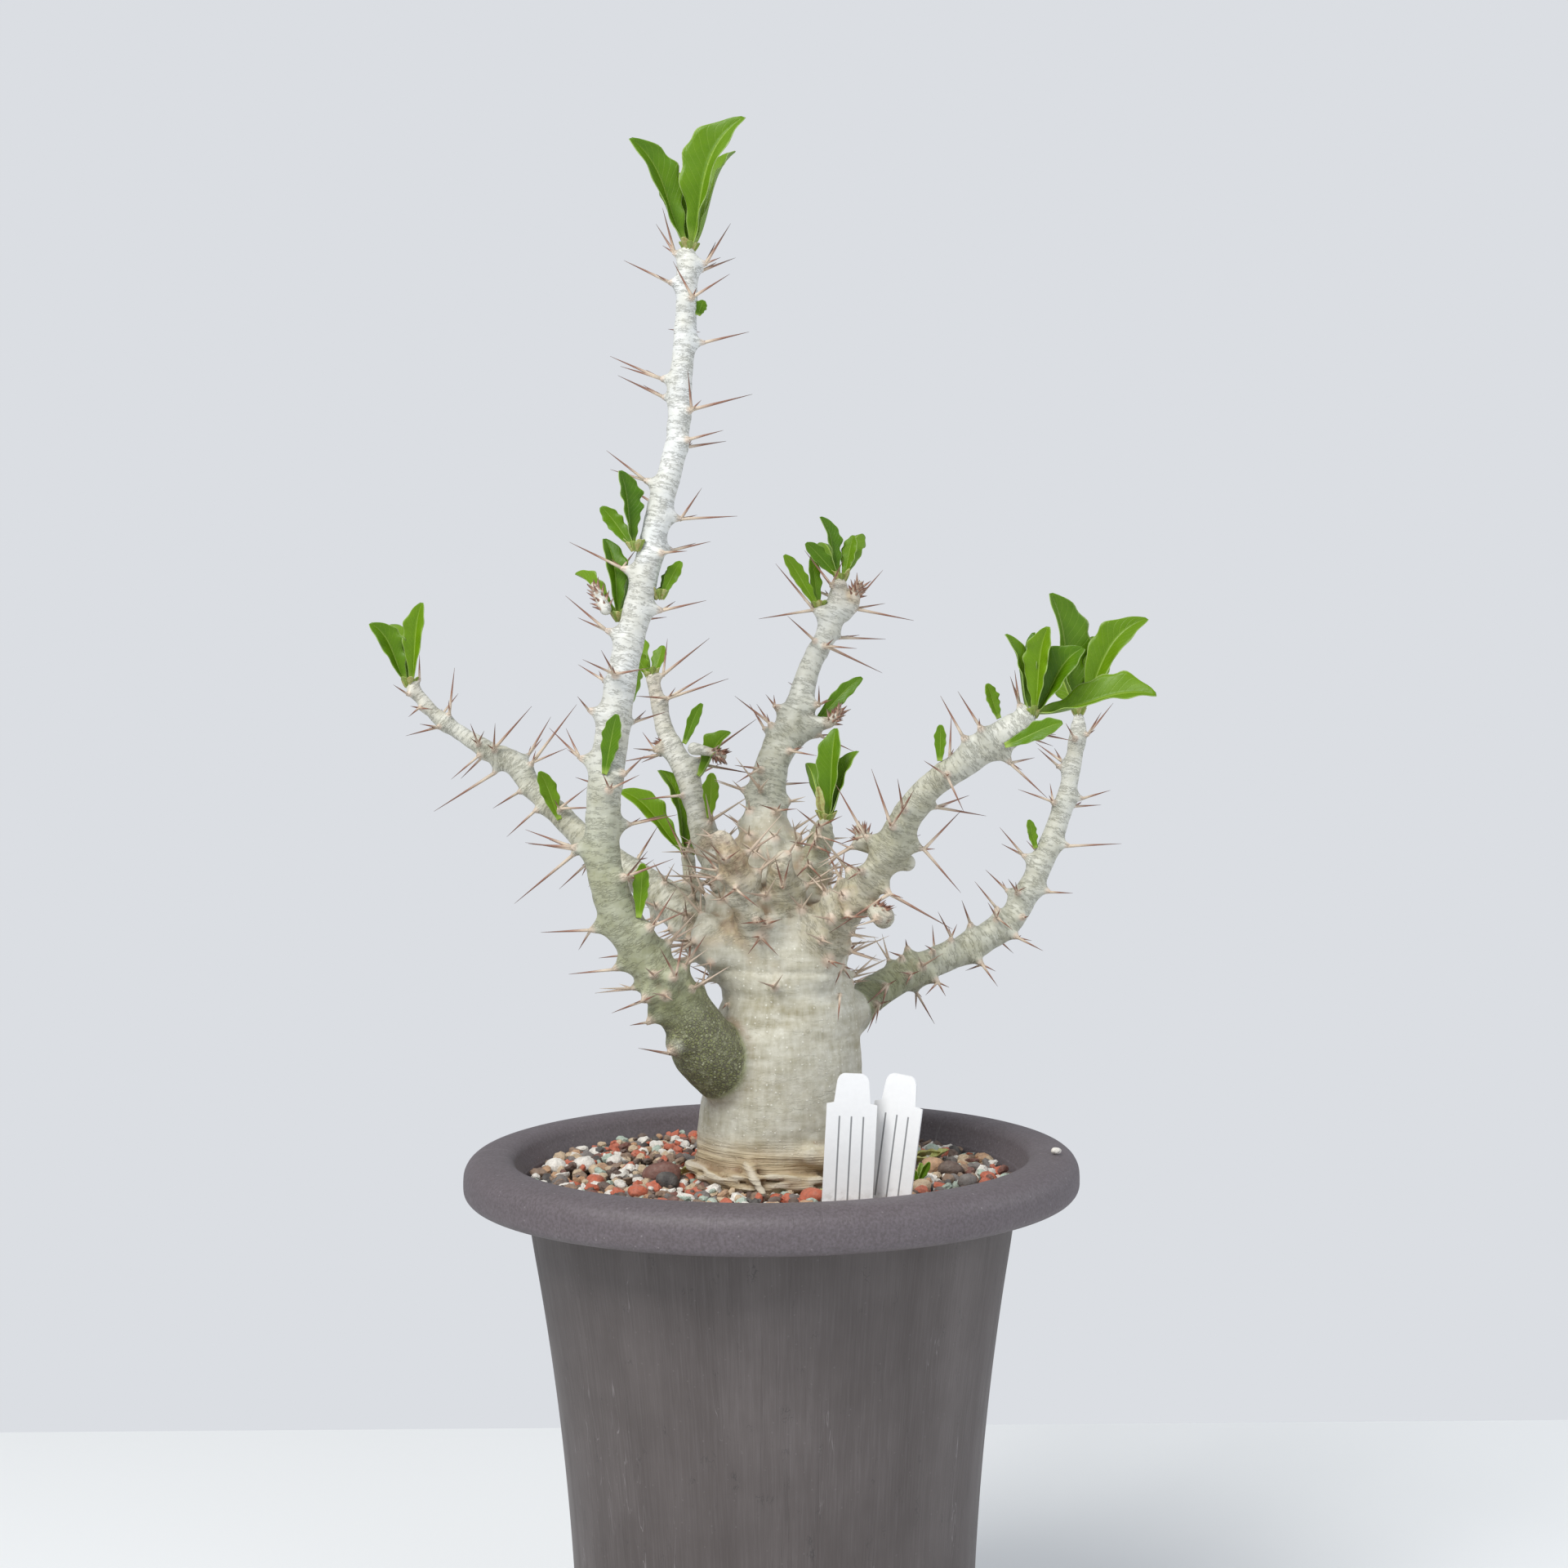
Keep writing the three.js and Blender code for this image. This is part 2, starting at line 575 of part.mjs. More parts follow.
// A point of the blade's middle surface, t from base to tip and u from edge to edge. The blade
// arches most at two thirds of its length, is troughed along its midrib and waved at its edges.
function leafPoint(leaf, t, u) {
  const half = leafHalfWidth(t, leaf.width);
  const wave = Math.sin(Math.PI * (2 * leaf.waves * t + 0.5 * (u + 1)));
  const ripple = BLADE_RIPPLE * leaf.width * wave * u * u * Math.sin(Math.PI * t);
  const lift = BLADE_TROUGH * half * Math.abs(u) + ripple - leaf.bend * 2 * t * (1 - t);
  const point = leaf.base.clone().addScaledVector(leaf.reach, t);
  point.addScaledVector(leaf.arched, 6.75 * t * t * (1 - t));
  return point.addScaledVector(leaf.side, u * half).addScaledVector(leaf.face, lift);
}

function bladeSteps(leaf) {
  return leaf.width < SMALL_BLADE ? 5 : 6;
}

function leafSolid(leaf) {
  const steps = bladeSteps(leaf);
  const shifted = (row, column, shift) => leafPoint(leaf, row / steps, column - 1)
    .addScaledVector(leaf.face, shift * BLADE_THICKNESS);
  const upper = (row, column) => shifted(row, column, 0.5);
  const lower = (row, column) => shifted(row, column, -0.5);
  return solidOf(sheetGeometry(steps, 2, upper, lower));
}

function leafNodeSolid(plan, centreLine, woodClearance) {
  const root = leafRoot(plan, centreLine);
  const blades = plan.blades.map((blade) => leafSolid(leafFrame(plan, root, blade)));
  if (blades.length > 1) {
    blades.push(solidOf(new THREE.OctahedronGeometry(BUD_RADIUS, 0).translate(...root.toArray())));
  }
  return largest(Manifold.union(blades).subtract(woodClearance));
}

// Spines stay clear of leaves, of other stems and of each other where they belong to other nodes

function segmentDistance(a, b) {
  const steps = 10;
  let least = Infinity;
  for (let i = 0; i <= steps; i += 1) {
    const point = a.from.clone().lerp(a.to, i / steps);
    const nearest = new THREE.Line3(b.from, b.to).closestPointToPoint(point, true, new THREE.Vector3());
    least = Math.min(least, point.distanceTo(nearest));
  }
  return least;
}

function lineSegments(node, centreLine, from) {
  const steps = 24;
  return Array.from({ length: steps }, (_, index) => {
    const low = centreLine.frame(from + ((1 - from) * index) / steps);
    const high = centreLine.frame(from + ((1 - from) * (index + 1)) / steps);
    return { node, from: low.place, to: high.place, radius: Math.max(low.radius, high.radius) };
  });
}

function leafSegments(plan, centreLine) {
  const segments = [];
  const root = leafRoot(plan, centreLine);
  for (const blade of plan.blades) {
    const leaf = leafFrame(plan, root, blade);
    const steps = bladeSteps(leaf);
    for (let row = 0; row < steps; row += 1) {
      for (const u of [-1, -0.5, 0, 0.5, 1]) {
        const from = leafPoint(leaf, row / steps, u);
        segments.push({ node: 'leaf', from, to: leafPoint(leaf, (row + 1) / steps, u), radius: 0.8 });
      }
    }
  }
  return segments;
}

function isClear(spine, node, obstacles) {
  const from = spine.root.clone().addScaledVector(spine.aim, SPINE_SINK);
  const segment = { from, to: spine.root.clone().addScaledVector(spine.aim, spine.length) };
  return obstacles.every((other) => other.node === node
    || segment.from.distanceTo(other.from) > 60
    || segmentDistance(segment, other) > other.radius + SPINE_CLEARANCE);
}

function padReach(pad) {
  const root = pad.tip.clone().addScaledVector(pad.out, -SPINE_SINK);
  return { root, aim: pad.out, length: SPINE_SINK + 1 };
}

function thornySolids(node, part, centreLine, obstacles) {
  const solids = [];
  const pads = padsOf(part, centreLine).filter((pad) => isClear(padReach(pad), node, obstacles));
  for (const pad of pads) {
    solids.push(padSolid(pad));
    for (const spine of spinesOf(pad)) {
      if (isClear(spine, node, obstacles)) {
        solids.push(spineSolid(spine));
        const to = spine.root.clone().addScaledVector(spine.aim, spine.length);
        obstacles.push({ node, from: spine.root, to, radius: 0.3 });
      }
    }
  }
  return solids;
}

// Materials
const potMatter = new THREE.MeshStandardMaterial({ color: 0x5f5656, roughness: 0.8, metalness: 0 });
const gravelMatter = new THREE.MeshStandardMaterial({ color: 0x9a8a7c, roughness: 0.9, metalness: 0 });
const barkMatter = new THREE.MeshStandardMaterial({ color: 0xb4ae98, roughness: 0.6, metalness: 0 });
const leafMatter = new THREE.MeshStandardMaterial({ color: 0x5d8a25, roughness: 0.45, metalness: 0 });
const tagMatter = new THREE.MeshStandardMaterial({ color: 0xf2f3f4, roughness: 0.4, metalness: 0 });
const pebbleMatter = new THREE.MeshStandardMaterial({ color: 0xdfddd6, roughness: 0.7, metalness: 0 });

function linesOf(parts) {
  return Object.fromEntries(Object.entries(parts).map(([name, { line }]) => [name, new CentreLine(line)]));
}

// All that a spine could run into: wood, and leaves
function plantObstacles(trunkLine, stemLines, shootLines) {
  const obstacles = lineSegments('trunk', trunkLine, 0);
  for (const [name, line] of Object.entries(stemLines)) {
    obstacles.push(...lineSegments(name, line, STEMS[name].start));
    obstacles.push(...lineSegments('trunk', line, 0).slice(0, 3));
  }
  for (const line of Object.values(shootLines)) {
    obstacles.push(...lineSegments('trunk', line, 0));
  }
  const lines = { ...stemLines, ...shootLines };
  obstacles.push(...Object.values(LEAVES).flatMap((plan) => leafSegments(plan, lines[plan.on])));
  return obstacles;
}

// The trunk with its short shoots and the feet of the stems, each drawn thicker by a gap
function trunkWood(trunkLine, stemLines, shootLines, grow) {
  const wood = [tubeSolid(trunkLine, 0, 1, 18, 12, grow)];
  for (const line of Object.values(shootLines)) {
    wood.push(tubeSolid(line, 0, 1, STEM_SIDES, 4, grow));
  }
  for (const [name, line] of Object.entries(stemLines)) {
    const seam = GAP / 2 / line.length;
    wood.push(tubeSolid(line, 0, STEMS[name].start - seam, STEM_SIDES, 3, grow));
  }
  return wood;
}

function stemWood(name, line, grow) {
  const { start, rings } = STEMS[name];
  return tubeSolid(line, start + GAP / 2 / line.length, 1, STEM_SIDES, rings, grow);
}

function buildPlant(group, trunkLine) {
  const stemLines = linesOf(STEMS);
  const shootLines = linesOf(SHOOTS);
  const obstacles = plantObstacles(trunkLine, stemLines, shootLines);
  const trunk = trunkWood(trunkLine, stemLines, shootLines, 0);
  for (const [name, shoot] of Object.entries(SHOOTS)) {
    trunk.push(...thornySolids('trunk', shoot, shootLines[name], obstacles));
  }
  group.add(meshOf('trunk', largest(Manifold.union(trunk)), barkMatter));

  const trunkSpace = Manifold.union(trunkWood(trunkLine, stemLines, shootLines, GAP));
  const clearance = [trunkSpace];
  for (const [name, stem] of Object.entries(STEMS)) {
    const line = stemLines[name];
    const solids = [stemWood(name, line, 0), ...thornySolids(name, stem, line, obstacles)];
    group.add(meshOf(name, largest(Manifold.union(solids).subtract(trunkSpace)), barkMatter));
    clearance.push(stemWood(name, line, GAP), ...padsOf(stem, line).map(padSolid));
  }

  const woodSpace = Manifold.union(clearance);
  const lines = { ...stemLines, ...shootLines };
  for (const [name, plan] of Object.entries(LEAVES)) {
    group.add(meshOf(name, leafNodeSolid(plan, lines[plan.on], woodSpace), leafMatter));
  }
}

function buildPlanter(group, trunkLine) {
  const tags = Object.entries(TAGS);
  const trunkHole = tubeSolid(trunkLine, 0, 0.5, 18, 6, GAP);
  const tagHoles = tags.map(([, tag]) => solidOf(tagGeometry(tag, TAG_THICKNESS + 2 * GAP, GAP)));
  group.add(meshOf('pot', makePot(), potMatter));
  group.add(meshOf('soil', makeSoil(trunkHole, tagHoles), gravelMatter));
  group.add(meshOf('rim_pebble', makeRimPebble(), pebbleMatter));
  for (const [name, tag] of tags) {
    group.add(meshOf(name, solidOf(tagGeometry(tag, TAG_THICKNESS, 0)), tagMatter));
  }
}

const group = new THREE.Group();
group.name = 'potted_kudu_lily';
const mainLine = new CentreLine(TRUNK_LINE);
buildPlanter(group, mainLine);
buildPlant(group, mainLine);

export default group;
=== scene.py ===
"""Looks of the potted kudu lily: planter, gravel, thorny wood, leaves, tags and a plain studio.

All drawn sizes are millimetres in the part's frame, and a mesh is made in metres. Lines of the
plant are drawn as they show from VIEW_POINT, against the pot's axis plane, with their depth.
"""
import json
import logging
import math
from dataclasses import dataclass, field
from enum import Enum
from typing import Any, NamedTuple, Sequence

import bmesh
import bpy
import numpy as np
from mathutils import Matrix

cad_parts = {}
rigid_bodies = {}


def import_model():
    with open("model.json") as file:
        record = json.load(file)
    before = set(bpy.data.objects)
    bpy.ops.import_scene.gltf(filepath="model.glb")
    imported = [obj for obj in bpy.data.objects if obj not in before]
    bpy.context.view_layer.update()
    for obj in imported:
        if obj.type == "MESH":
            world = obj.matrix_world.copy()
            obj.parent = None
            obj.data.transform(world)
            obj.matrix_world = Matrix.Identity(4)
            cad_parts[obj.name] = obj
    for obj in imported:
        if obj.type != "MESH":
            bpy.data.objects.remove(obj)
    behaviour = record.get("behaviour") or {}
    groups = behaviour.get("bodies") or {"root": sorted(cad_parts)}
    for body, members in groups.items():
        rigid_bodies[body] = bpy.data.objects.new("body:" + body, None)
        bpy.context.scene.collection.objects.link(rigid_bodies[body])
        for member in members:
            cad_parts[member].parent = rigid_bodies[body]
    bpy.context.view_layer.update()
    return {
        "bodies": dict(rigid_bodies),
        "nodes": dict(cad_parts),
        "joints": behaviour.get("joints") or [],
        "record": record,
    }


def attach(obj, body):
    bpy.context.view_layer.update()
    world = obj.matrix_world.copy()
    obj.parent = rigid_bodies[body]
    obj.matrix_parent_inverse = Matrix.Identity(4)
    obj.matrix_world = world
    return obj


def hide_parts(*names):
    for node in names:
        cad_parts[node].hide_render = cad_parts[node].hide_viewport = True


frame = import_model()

import openvdb
from bpy.types import Material, Node, NodeSocket, NodeTree, Object
from mathutils import Vector

LOG = logging.getLogger("kudu_lily")
MM = 0.001
VIEW_POINT = np.array([5.0, -690.0, 351.0])
GOLDEN_TURN = math.radians(137.5)

Numbers = Sequence[float]
Colour = tuple[float, float, float]

# Centre lines of the wood, base to tip: (x, depth, z, radius)
TRUNK_LINE = (
    (3, 0, 186, 24), (3, 0, 203, 28.5), (3, 0, 216, 29.5), (3.5, 0, 235, 28.3),
    (4.5, 0, 255, 26.5), (6, 0, 275, 23.5), (5, 1, 292, 20.5), (2, 3, 308, 17.5),
    (0, 5, 322, 13), (-1, 7, 332, 8.8),
)
WOOD_LINES = {
    "stem_tall": (
        (-6, -9, 249, 11), (-20, -20, 259, 10.8), (-29, -27, 272, 9), (-40, -32, 288, 7),
        (-51, -35, 305, 6.6), (-57, -37, 323, 5.8), (-57, -37, 345, 5.6), (-54, -35, 367, 5.6),
        (-50, -33, 390, 5), (-44, -30, 415, 4.6), (-37, -28, 445, 4.3), (-31, -26, 468, 3.8),
        (-29, -25, 491, 3.8), (-27, -24, 514, 3.5), (-26.5, -24, 530, 3.7), (-26, -24, 535, 2),
    ),
    "stem_back_left": (
        (-4, 12, 303, 8.5), (-13, 19, 318, 6.6), (-22, 26, 333, 5.2), (-25, 31, 345, 4.4),
        (-30, 36, 358, 4.2), (-35, 40, 368, 3.4), (-38, 43, 380, 2.9), (-40, 44, 388, 2.2),
    ),
    "stem_centre": (
        (0, 6, 314, 10), (-1, 9, 330, 8.4), (-1, 12, 345, 6.8), (2, 15, 360, 5.8),
        (8, 18, 370, 6.2), (11, 20, 379, 5), (14, 22, 390, 3.8), (20, 24, 402, 3.7),
        (23, 25, 410, 4.1), (25, 26, 417, 3.2), (25.5, 26, 421, 1.8),
    ),
    "stem_right_front": (
        (8, -6, 290, 9.5), (19, -15, 302, 7.8), (29, -22, 311, 6), (38, -27, 322, 5.1),
        (43, -30, 330, 6), (48, -33, 340, 5), (56, -36, 350, 4.4), (65, -39, 356, 4.5),
        (76, -42, 364, 5.2), (84, -44, 369, 5.2), (90, -45, 374, 2.6),
    ),
    "stem_right_low": (
        (12, 5, 259, 8.5), (26, 15, 271, 7), (36, 24, 279, 6.2), (47, 31, 285, 5.6),
        (59, 37, 290, 5.2), (72, 42, 296, 5.3), (83, 46, 304, 4.9), (90, 48, 315, 4.5),
        (97, 50, 330, 4.2), (102, 52, 344, 3.5), (105, 53, 357, 3.1), (107, 54, 370, 2.9),
        (107, 54, 374, 1.7),
    ),
    "stem_left_back": (
        (-8, 9, 286, 10), (-20, 18, 297, 8.4), (-30, 27, 307, 7.4), (-41, 35, 316, 6),
        (-52, 42, 324, 5), (-64, 48, 333, 4.6), (-75, 53, 344, 4), (-82, 56, 351, 3.8),
        (-88, 58, 359, 4.4), (-96, 60, 363, 3.6), (-107, 62, 370, 2.8), (-115, 63, 376, 2.5),
        (-120, 64, 382, 2.4), (-123, 64, 386, 1.9),
    ),
    "crown_right": ((12, -3, 310, 7), (15.5, -3, 324, 4.6), (18.5, -2, 335, 3.7), (19.5, -2, 338, 2)),
    "crown_left": ((-3, -11, 300, 8), (-9, -18, 315, 5.2), (-14, -22, 327, 4.2), (-16, -23, 333, 2.2)),
    "crown_front": ((5, -10, 304, 8), (5, -16, 315, 5.4), (4, -20, 322, 3.6), (4, -21.5, 325, 2)),
    "back_twig": ((-18, 26, 297, 5), (-24, 32, 307, 3.4), (-27, 35, 317, 2.6), (-28, 37, 326, 2.3)),
    "back_knob": ((8, 12, 294, 9), (13, 22, 308, 6.4), (16, 29, 320, 4.8), (17, 33, 331, 2.4)),
}

# How far silver bark, green skin and brown scales run along each line, by share of its length
TINTS = {
    "stem_tall": (((0, 0.3, 0.5, 1), (0, 0.2, 0.85, 1)),
                  ((0, 0.12, 0.17, 0.33, 0.46, 1), (1, 0.95, 0.62, 0.5, 0, 0)), ((0, 1), (0, 0))),
    "stem_back_left": (((0, 0.6, 1), (0.1, 0.5, 0.4)), ((0, 1), (0.2, 0)), ((0, 0.8, 1), (0, 0.1, 0.6))),
    "stem_centre": (((0, 0.5, 1), (0.1, 0.45, 0.8)), ((0, 0.4, 1), (0.2, 0.25, 0)),
                    ((0, 0.9, 1), (0.1, 0, 0.5))),
    "stem_right_front": (((0, 0.4, 0.8, 1), (0, 0.1, 0.5, 0.6)), ((0, 0.5, 1), (0, 0.35, 0.1)),
                         ((0, 0.3, 0.5, 1), (0.1, 0.3, 0.1, 0))),
    "stem_right_low": (((0, 0.3, 0.6, 1), (0, 0.1, 0.5, 0.7)),
                       ((0, 0.2, 0.35, 1), (0.8, 0.75, 0.3, 0.05)), ((0, 1), (0, 0))),
    "stem_left_back": (((0, 0.5, 1), (0, 0.2, 0.6)), ((0, 0.5, 1), (0.1, 0.2, 0.1)),
                       ((0, 0.9, 1), (0, 0, 0.3))),
    "crown_right": (((0, 1), (0, 0.1)), ((0, 1), (0.2, 0.5)), ((0, 1), (0, 0.2))),
    "crown_left": (((0, 1), (0, 0)), ((0, 1), (0, 0)), ((0, 0.5, 0.7, 1), (0, 0.1, 0.9, 1))),
    "crown_front": (((0, 1), (0, 0.1)), ((0, 1), (0.1, 0.3)), ((0, 1), (0.1, 0.4))),
    "back_twig": (((0, 1), (0, 0.3)), ((0, 1), (0.2, 0.4)), ((0, 1), (0, 0.3))),
    "back_knob": (((0, 1), (0, 0.3)), ((0, 1), (0.2, 0.3)), ((0, 1), (0, 0.2))),
}
# Swellings, side knobs, root stub and bark flap, as short tapered lines that melt into the wood
SCALY = (
    ((27.5, 26, 412, 3), (31, 24, 418, 2.3), (33, 23, 422, 1.4)),
    ((16, 17, 372, 3.2), (22, 15, 372.5, 1.9), (25.5, 14, 377, 1.3)),
    ((-53, -31, 409, 2.2), (-57, -30, 417, 1.3)),
    ((-35, 38, 366, 2.4), (-40, 36, 364.5, 1.3)),
    ((-27, 30, 364, 2.4), (-20, 28, 362.5, 1.6), (-16, 26, 361, 1.2)),
    ((35, -30, 309, 2.6), (39, -32, 308, 1.6)),
    ((32, -22, 332, 2.6), (30, -20.5, 336, 1.6)),
    ((-13, -2, 300, 3), (-16, 2, 309, 3)),
)

LUMPS = (
    ((-8, -6, 287, 9), (-17, -9, 296, 8), (-20.5, -10, 300, 6)),
    ((13, -13, 281, 6), (15, -14, 289, 8.6), (18, -14, 299, 8.6)),
    ((19, 5, 265, 8.5), (28, 10, 271, 7.4)),
    ((-17, -17, 255, 9.5), (-23, -21, 262, 9.5)),
    ((-13, -2, 300, 8), (-16, 2, 306, 6.5)),
    ((5, -26.5, 227.5, 1.6), (13, -27.5, 227.5, 3.6), (22, -24, 226, 4.4), (29, -17, 225, 3)),
    ((-8, -27, 224.5, 1.8), (-5.5, -32.5, 221, 1.7), (-2.4, -35, 216.5, 1.1)),
    ((22.5, 25, 407, 3), (19, 22, 412, 2.4)),
    *SCALY,
    ((41, -26, 326, 4), (46, -24, 324.5, 3)),
)

# Spine pads by line: the pad's place (x, z), then the tips (x, z) of its spines
PADS = {
    "stem_tall": (
        (-30.5, 534.5, -35, 550, -37.5, 545.5), (-21, 530.5, -11.5, 544.5, -17, 540.5),
        (-32, 523.5, -48.5, 532, -40.5, 530.5), (-25, 517, -31.5, 531.5, -12, 527),
        (-22, 503.5, -5.5, 507), (-35.5, 491, -53.5, 499, -50, 495.5),
        (-26, 479.5, -26.5, 493, -4.5, 485.5), (-27, 468.5, -14.5, 472),
        (-42, 456, -55, 466.5, -54, 460.5), (-30, 443, -22, 452.5, -10, 443.5),
        (-36, 430.5, -27, 430.5), (-48.5, 425.5, -68, 435, -46, 433),
        (-35.5, 411, -21, 414.5, -32, 415), (-54, 404, -69.5, 416.5, -66, 409.5),
        (-52, 387.5, -56.5, 397, -40.5, 391, -63, 394), (-60, 377, -65, 381.5),
        (-63.5, 361, -75.5, 371, -70.5, 371), (-50, 354, -42, 361),
        (-54.5, 348.5, -56.5, 355, -44, 354.5), (-67, 330.5, -83, 331, -84, 336),
        (-50, 320, -33, 325.5, -43.5, 318), (-63, 301, -79, 300.5, -67, 293.5),
        (-41.5, 303, -32, 315.5, -27.5, 308), (-53.5, 288, -69.5, 286),
        (-43, 279.5, -54, 273.5, -38.5, 279.5), (-34, 287.5, -29.5, 299, -37.5, 295.5),
        (-41.5, 272.5, -48, 269), (-35, 263.5, -45, 261.5),
    ),
    "stem_back_left": (
        (-36.5, 390.5, -34.5, 401.5, -20, 401.5),
        (-34.5, 380.5, -19, 390, -13.5, 387.5, -45.5, 381.5),
        (-20.5, 361, -4, 373.5, -26.5, 347.5), (-16, 360, -4.5, 354.5), (-29.5, 346, -45, 346),
        (-38, 362.5, -46, 363.5, -44, 369.5),
    ),
    "stem_centre": (
        (15, 411, 3, 427, -3, 408), (22.5, 419.5, 13, 431.5, 26, 427), (15.5, 399, 7, 408.5),
        (19.5, 397.5, 30.5, 397, 39.5, 389), (31.5, 411, 50.5, 407, 41, 413.5),
        (30, 413.5, 40, 424.5), (0, 370, -11.5, 381.5, -4, 379), (3, 377, 2.5, 377, 2, 382),
        (20.5, 366.5, 29.5, 362, 16.5, 368.5), (6.5, 360.5, 16.5, 360.5, 12, 363.5),
        (-3, 355, -11.5, 357.5, -11, 351.5), (2.5, 339.5, -3, 344, 9.5, 342.5),
        (16.5, 377, 17.5, 384.5, 23, 381.5),
    ),
    "stem_right_front": (
        (85.5, 379.5, 82.5, 387, 86, 390), (90.5, 368.5, 104, 365, 100.5, 367.5),
        (83, 359, 96, 345.5, 93, 359.5), (68.5, 366.5, 59.5, 381),
        (74.5, 370, 65.5, 382.5, 71.5, 372.5), (62.5, 354.5, 53, 358.5, 67, 341),
        (43.5, 338.5, 35.5, 356, 47.5, 344.5), (52.5, 329, 66, 313, 66.5, 341.5),
        (33.5, 332.5, 23, 351, 25, 330), (47, 343, 44, 352.5, 49.5, 348.5),
        (41, 315, 63, 300.5, 20.5, 299.5), (33.5, 323, 22.5, 326, 26.5, 318),
        (29.5, 309, 24, 304.5, 34.5, 305.5), (22.5, 295, 20, 289.5, 26, 289),
        (25.5, 286.5, 22, 282, 28.5, 282),
    ),
    "stem_right_low": (
        (109.5, 367.5, 113.5, 374.5, 119, 378), (105, 365.5, 101.5, 371), (100, 356.5, 92, 362.5),
        (97.5, 343.5, 86, 348.5, 98, 350.5), (108.5, 345.5, 116.5, 348),
        (102.5, 328.5, 121.5, 329.5), (87, 325.5, 79.5, 335.5, 81, 329.5),
        (95.5, 313, 103.5, 313), (84.5, 313, 81.5, 318, 88, 315),
        (76, 303.5, 74.5, 310, 83, 300.5), (86, 304, 89, 305), (68, 302, 65.5, 311),
        (77, 307, 70.5, 317), (84, 297.5, 93, 293.5, 87, 298), (60.5, 297, 57.5, 307, 62, 301),
        (71, 288.5, 77.5, 281.5, 68, 285.5), (55, 282.5, 60, 278, 53, 278.5),
        (47, 295, 46.5, 297.5), (44, 284, 44, 286.5, 46, 281.5),
        (35.5, 279.5, 37.5, 273.5, 32.5, 275.5), (32, 272.5, 33, 266, 36, 269),
        (42.5, 290, 40.5, 293.5), (53.5, 292.5, 53, 295.5),
    ),
    "stem_left_back": (
        (-119.5, 388.5, -118.5, 396), (-123.5, 383, -128, 386),
        (-119, 377.5, -123, 375, -114.5, 377.5), (-109.5, 376, -108, 392, -110, 386.5),
        (-113, 371.5, -119, 372.5, -124, 368.5), (-99, 365.5, -101.5, 372.5, -97, 370),
        (-92.5, 363, -93, 372.5, -81.5, 378.5), (-98.5, 361, -109.5, 353.5),
        (-96.5, 351.5, -115.5, 342.5), (-81, 358.5, -66, 379, -69.5, 364),
        (-85.5, 348.5, -94, 343.5), (-79, 341.5, -90.5, 333.5),
        (-70.5, 342, -62.5, 350.5, -58, 343.5), (-68.5, 327, -88, 310.5),
        (-59.5, 336.5, -51, 343.5, -55, 342), (-55, 322.5, -61.5, 316.5),
        (-45, 317, -39.5, 325.5, -48, 309.5),
    ),
    "crown_left": (
        (-12, 317.5, -3.5, 309, -17, 311.5), (-15.5, 327, -20, 331, -10, 328.5),
        (-6, 308.5, -10, 303.5, -0.5, 304.5),
    ),
    "crown_right": (
        (17.5, 336.5, 9.5, 342.5, 25, 340), (15.5, 329, 7, 331.5, 23, 326.5),
        (16.5, 333, 26.5, 330, 12.5, 325.5), (13.5, 323, 8.5, 318.5, 18.5, 318),
    ),
    "crown_front": (
        (-2, 297, -7.5, 293, 3, 292.5), (4, 320, 2, 326, 7, 325),
        (0, 308.5, -3.5, 305.5, 4.5, 305),
    ),
    "back_twig": (
        (-30, 336.5, -36.5, 342, -23.5, 341),
    ),
    "trunk": (
        (-26, 300, -28.5, 297, -23, 297.5), (-20, 303.5, -22.5, 300.5, -18, 300),
        (-23, 293, -25, 289.5, -20.5, 290), (-25, 283, -28.5, 289, -22, 288.5),
        (-18, 282, -20, 286.5, -15, 286), (-14.5, 276, -16.5, 274, -12, 275),
        (-9.5, 312.5, -12.5, 308.5, -6, 309), (17, 311.5, 12.5, 308.5, 20.5, 308),
        (19, 298, 17, 294, 22, 293.5), (17.5, 291.5, 15.5, 288, 20, 287.5),
        (23.5, 279.5, 23, 270, 20.5, 275.5), (-19.5, 272, -21.5, 268.5, -16.5, 269),
        (5.5, 318.5, 3.5, 315, 8.5, 315.5), (28.5, 293.5, 31.5, 297.5, 33, 291.5),
        (27, 300.5, 32.5, 304, 33.5, 300.5),
    ),
}

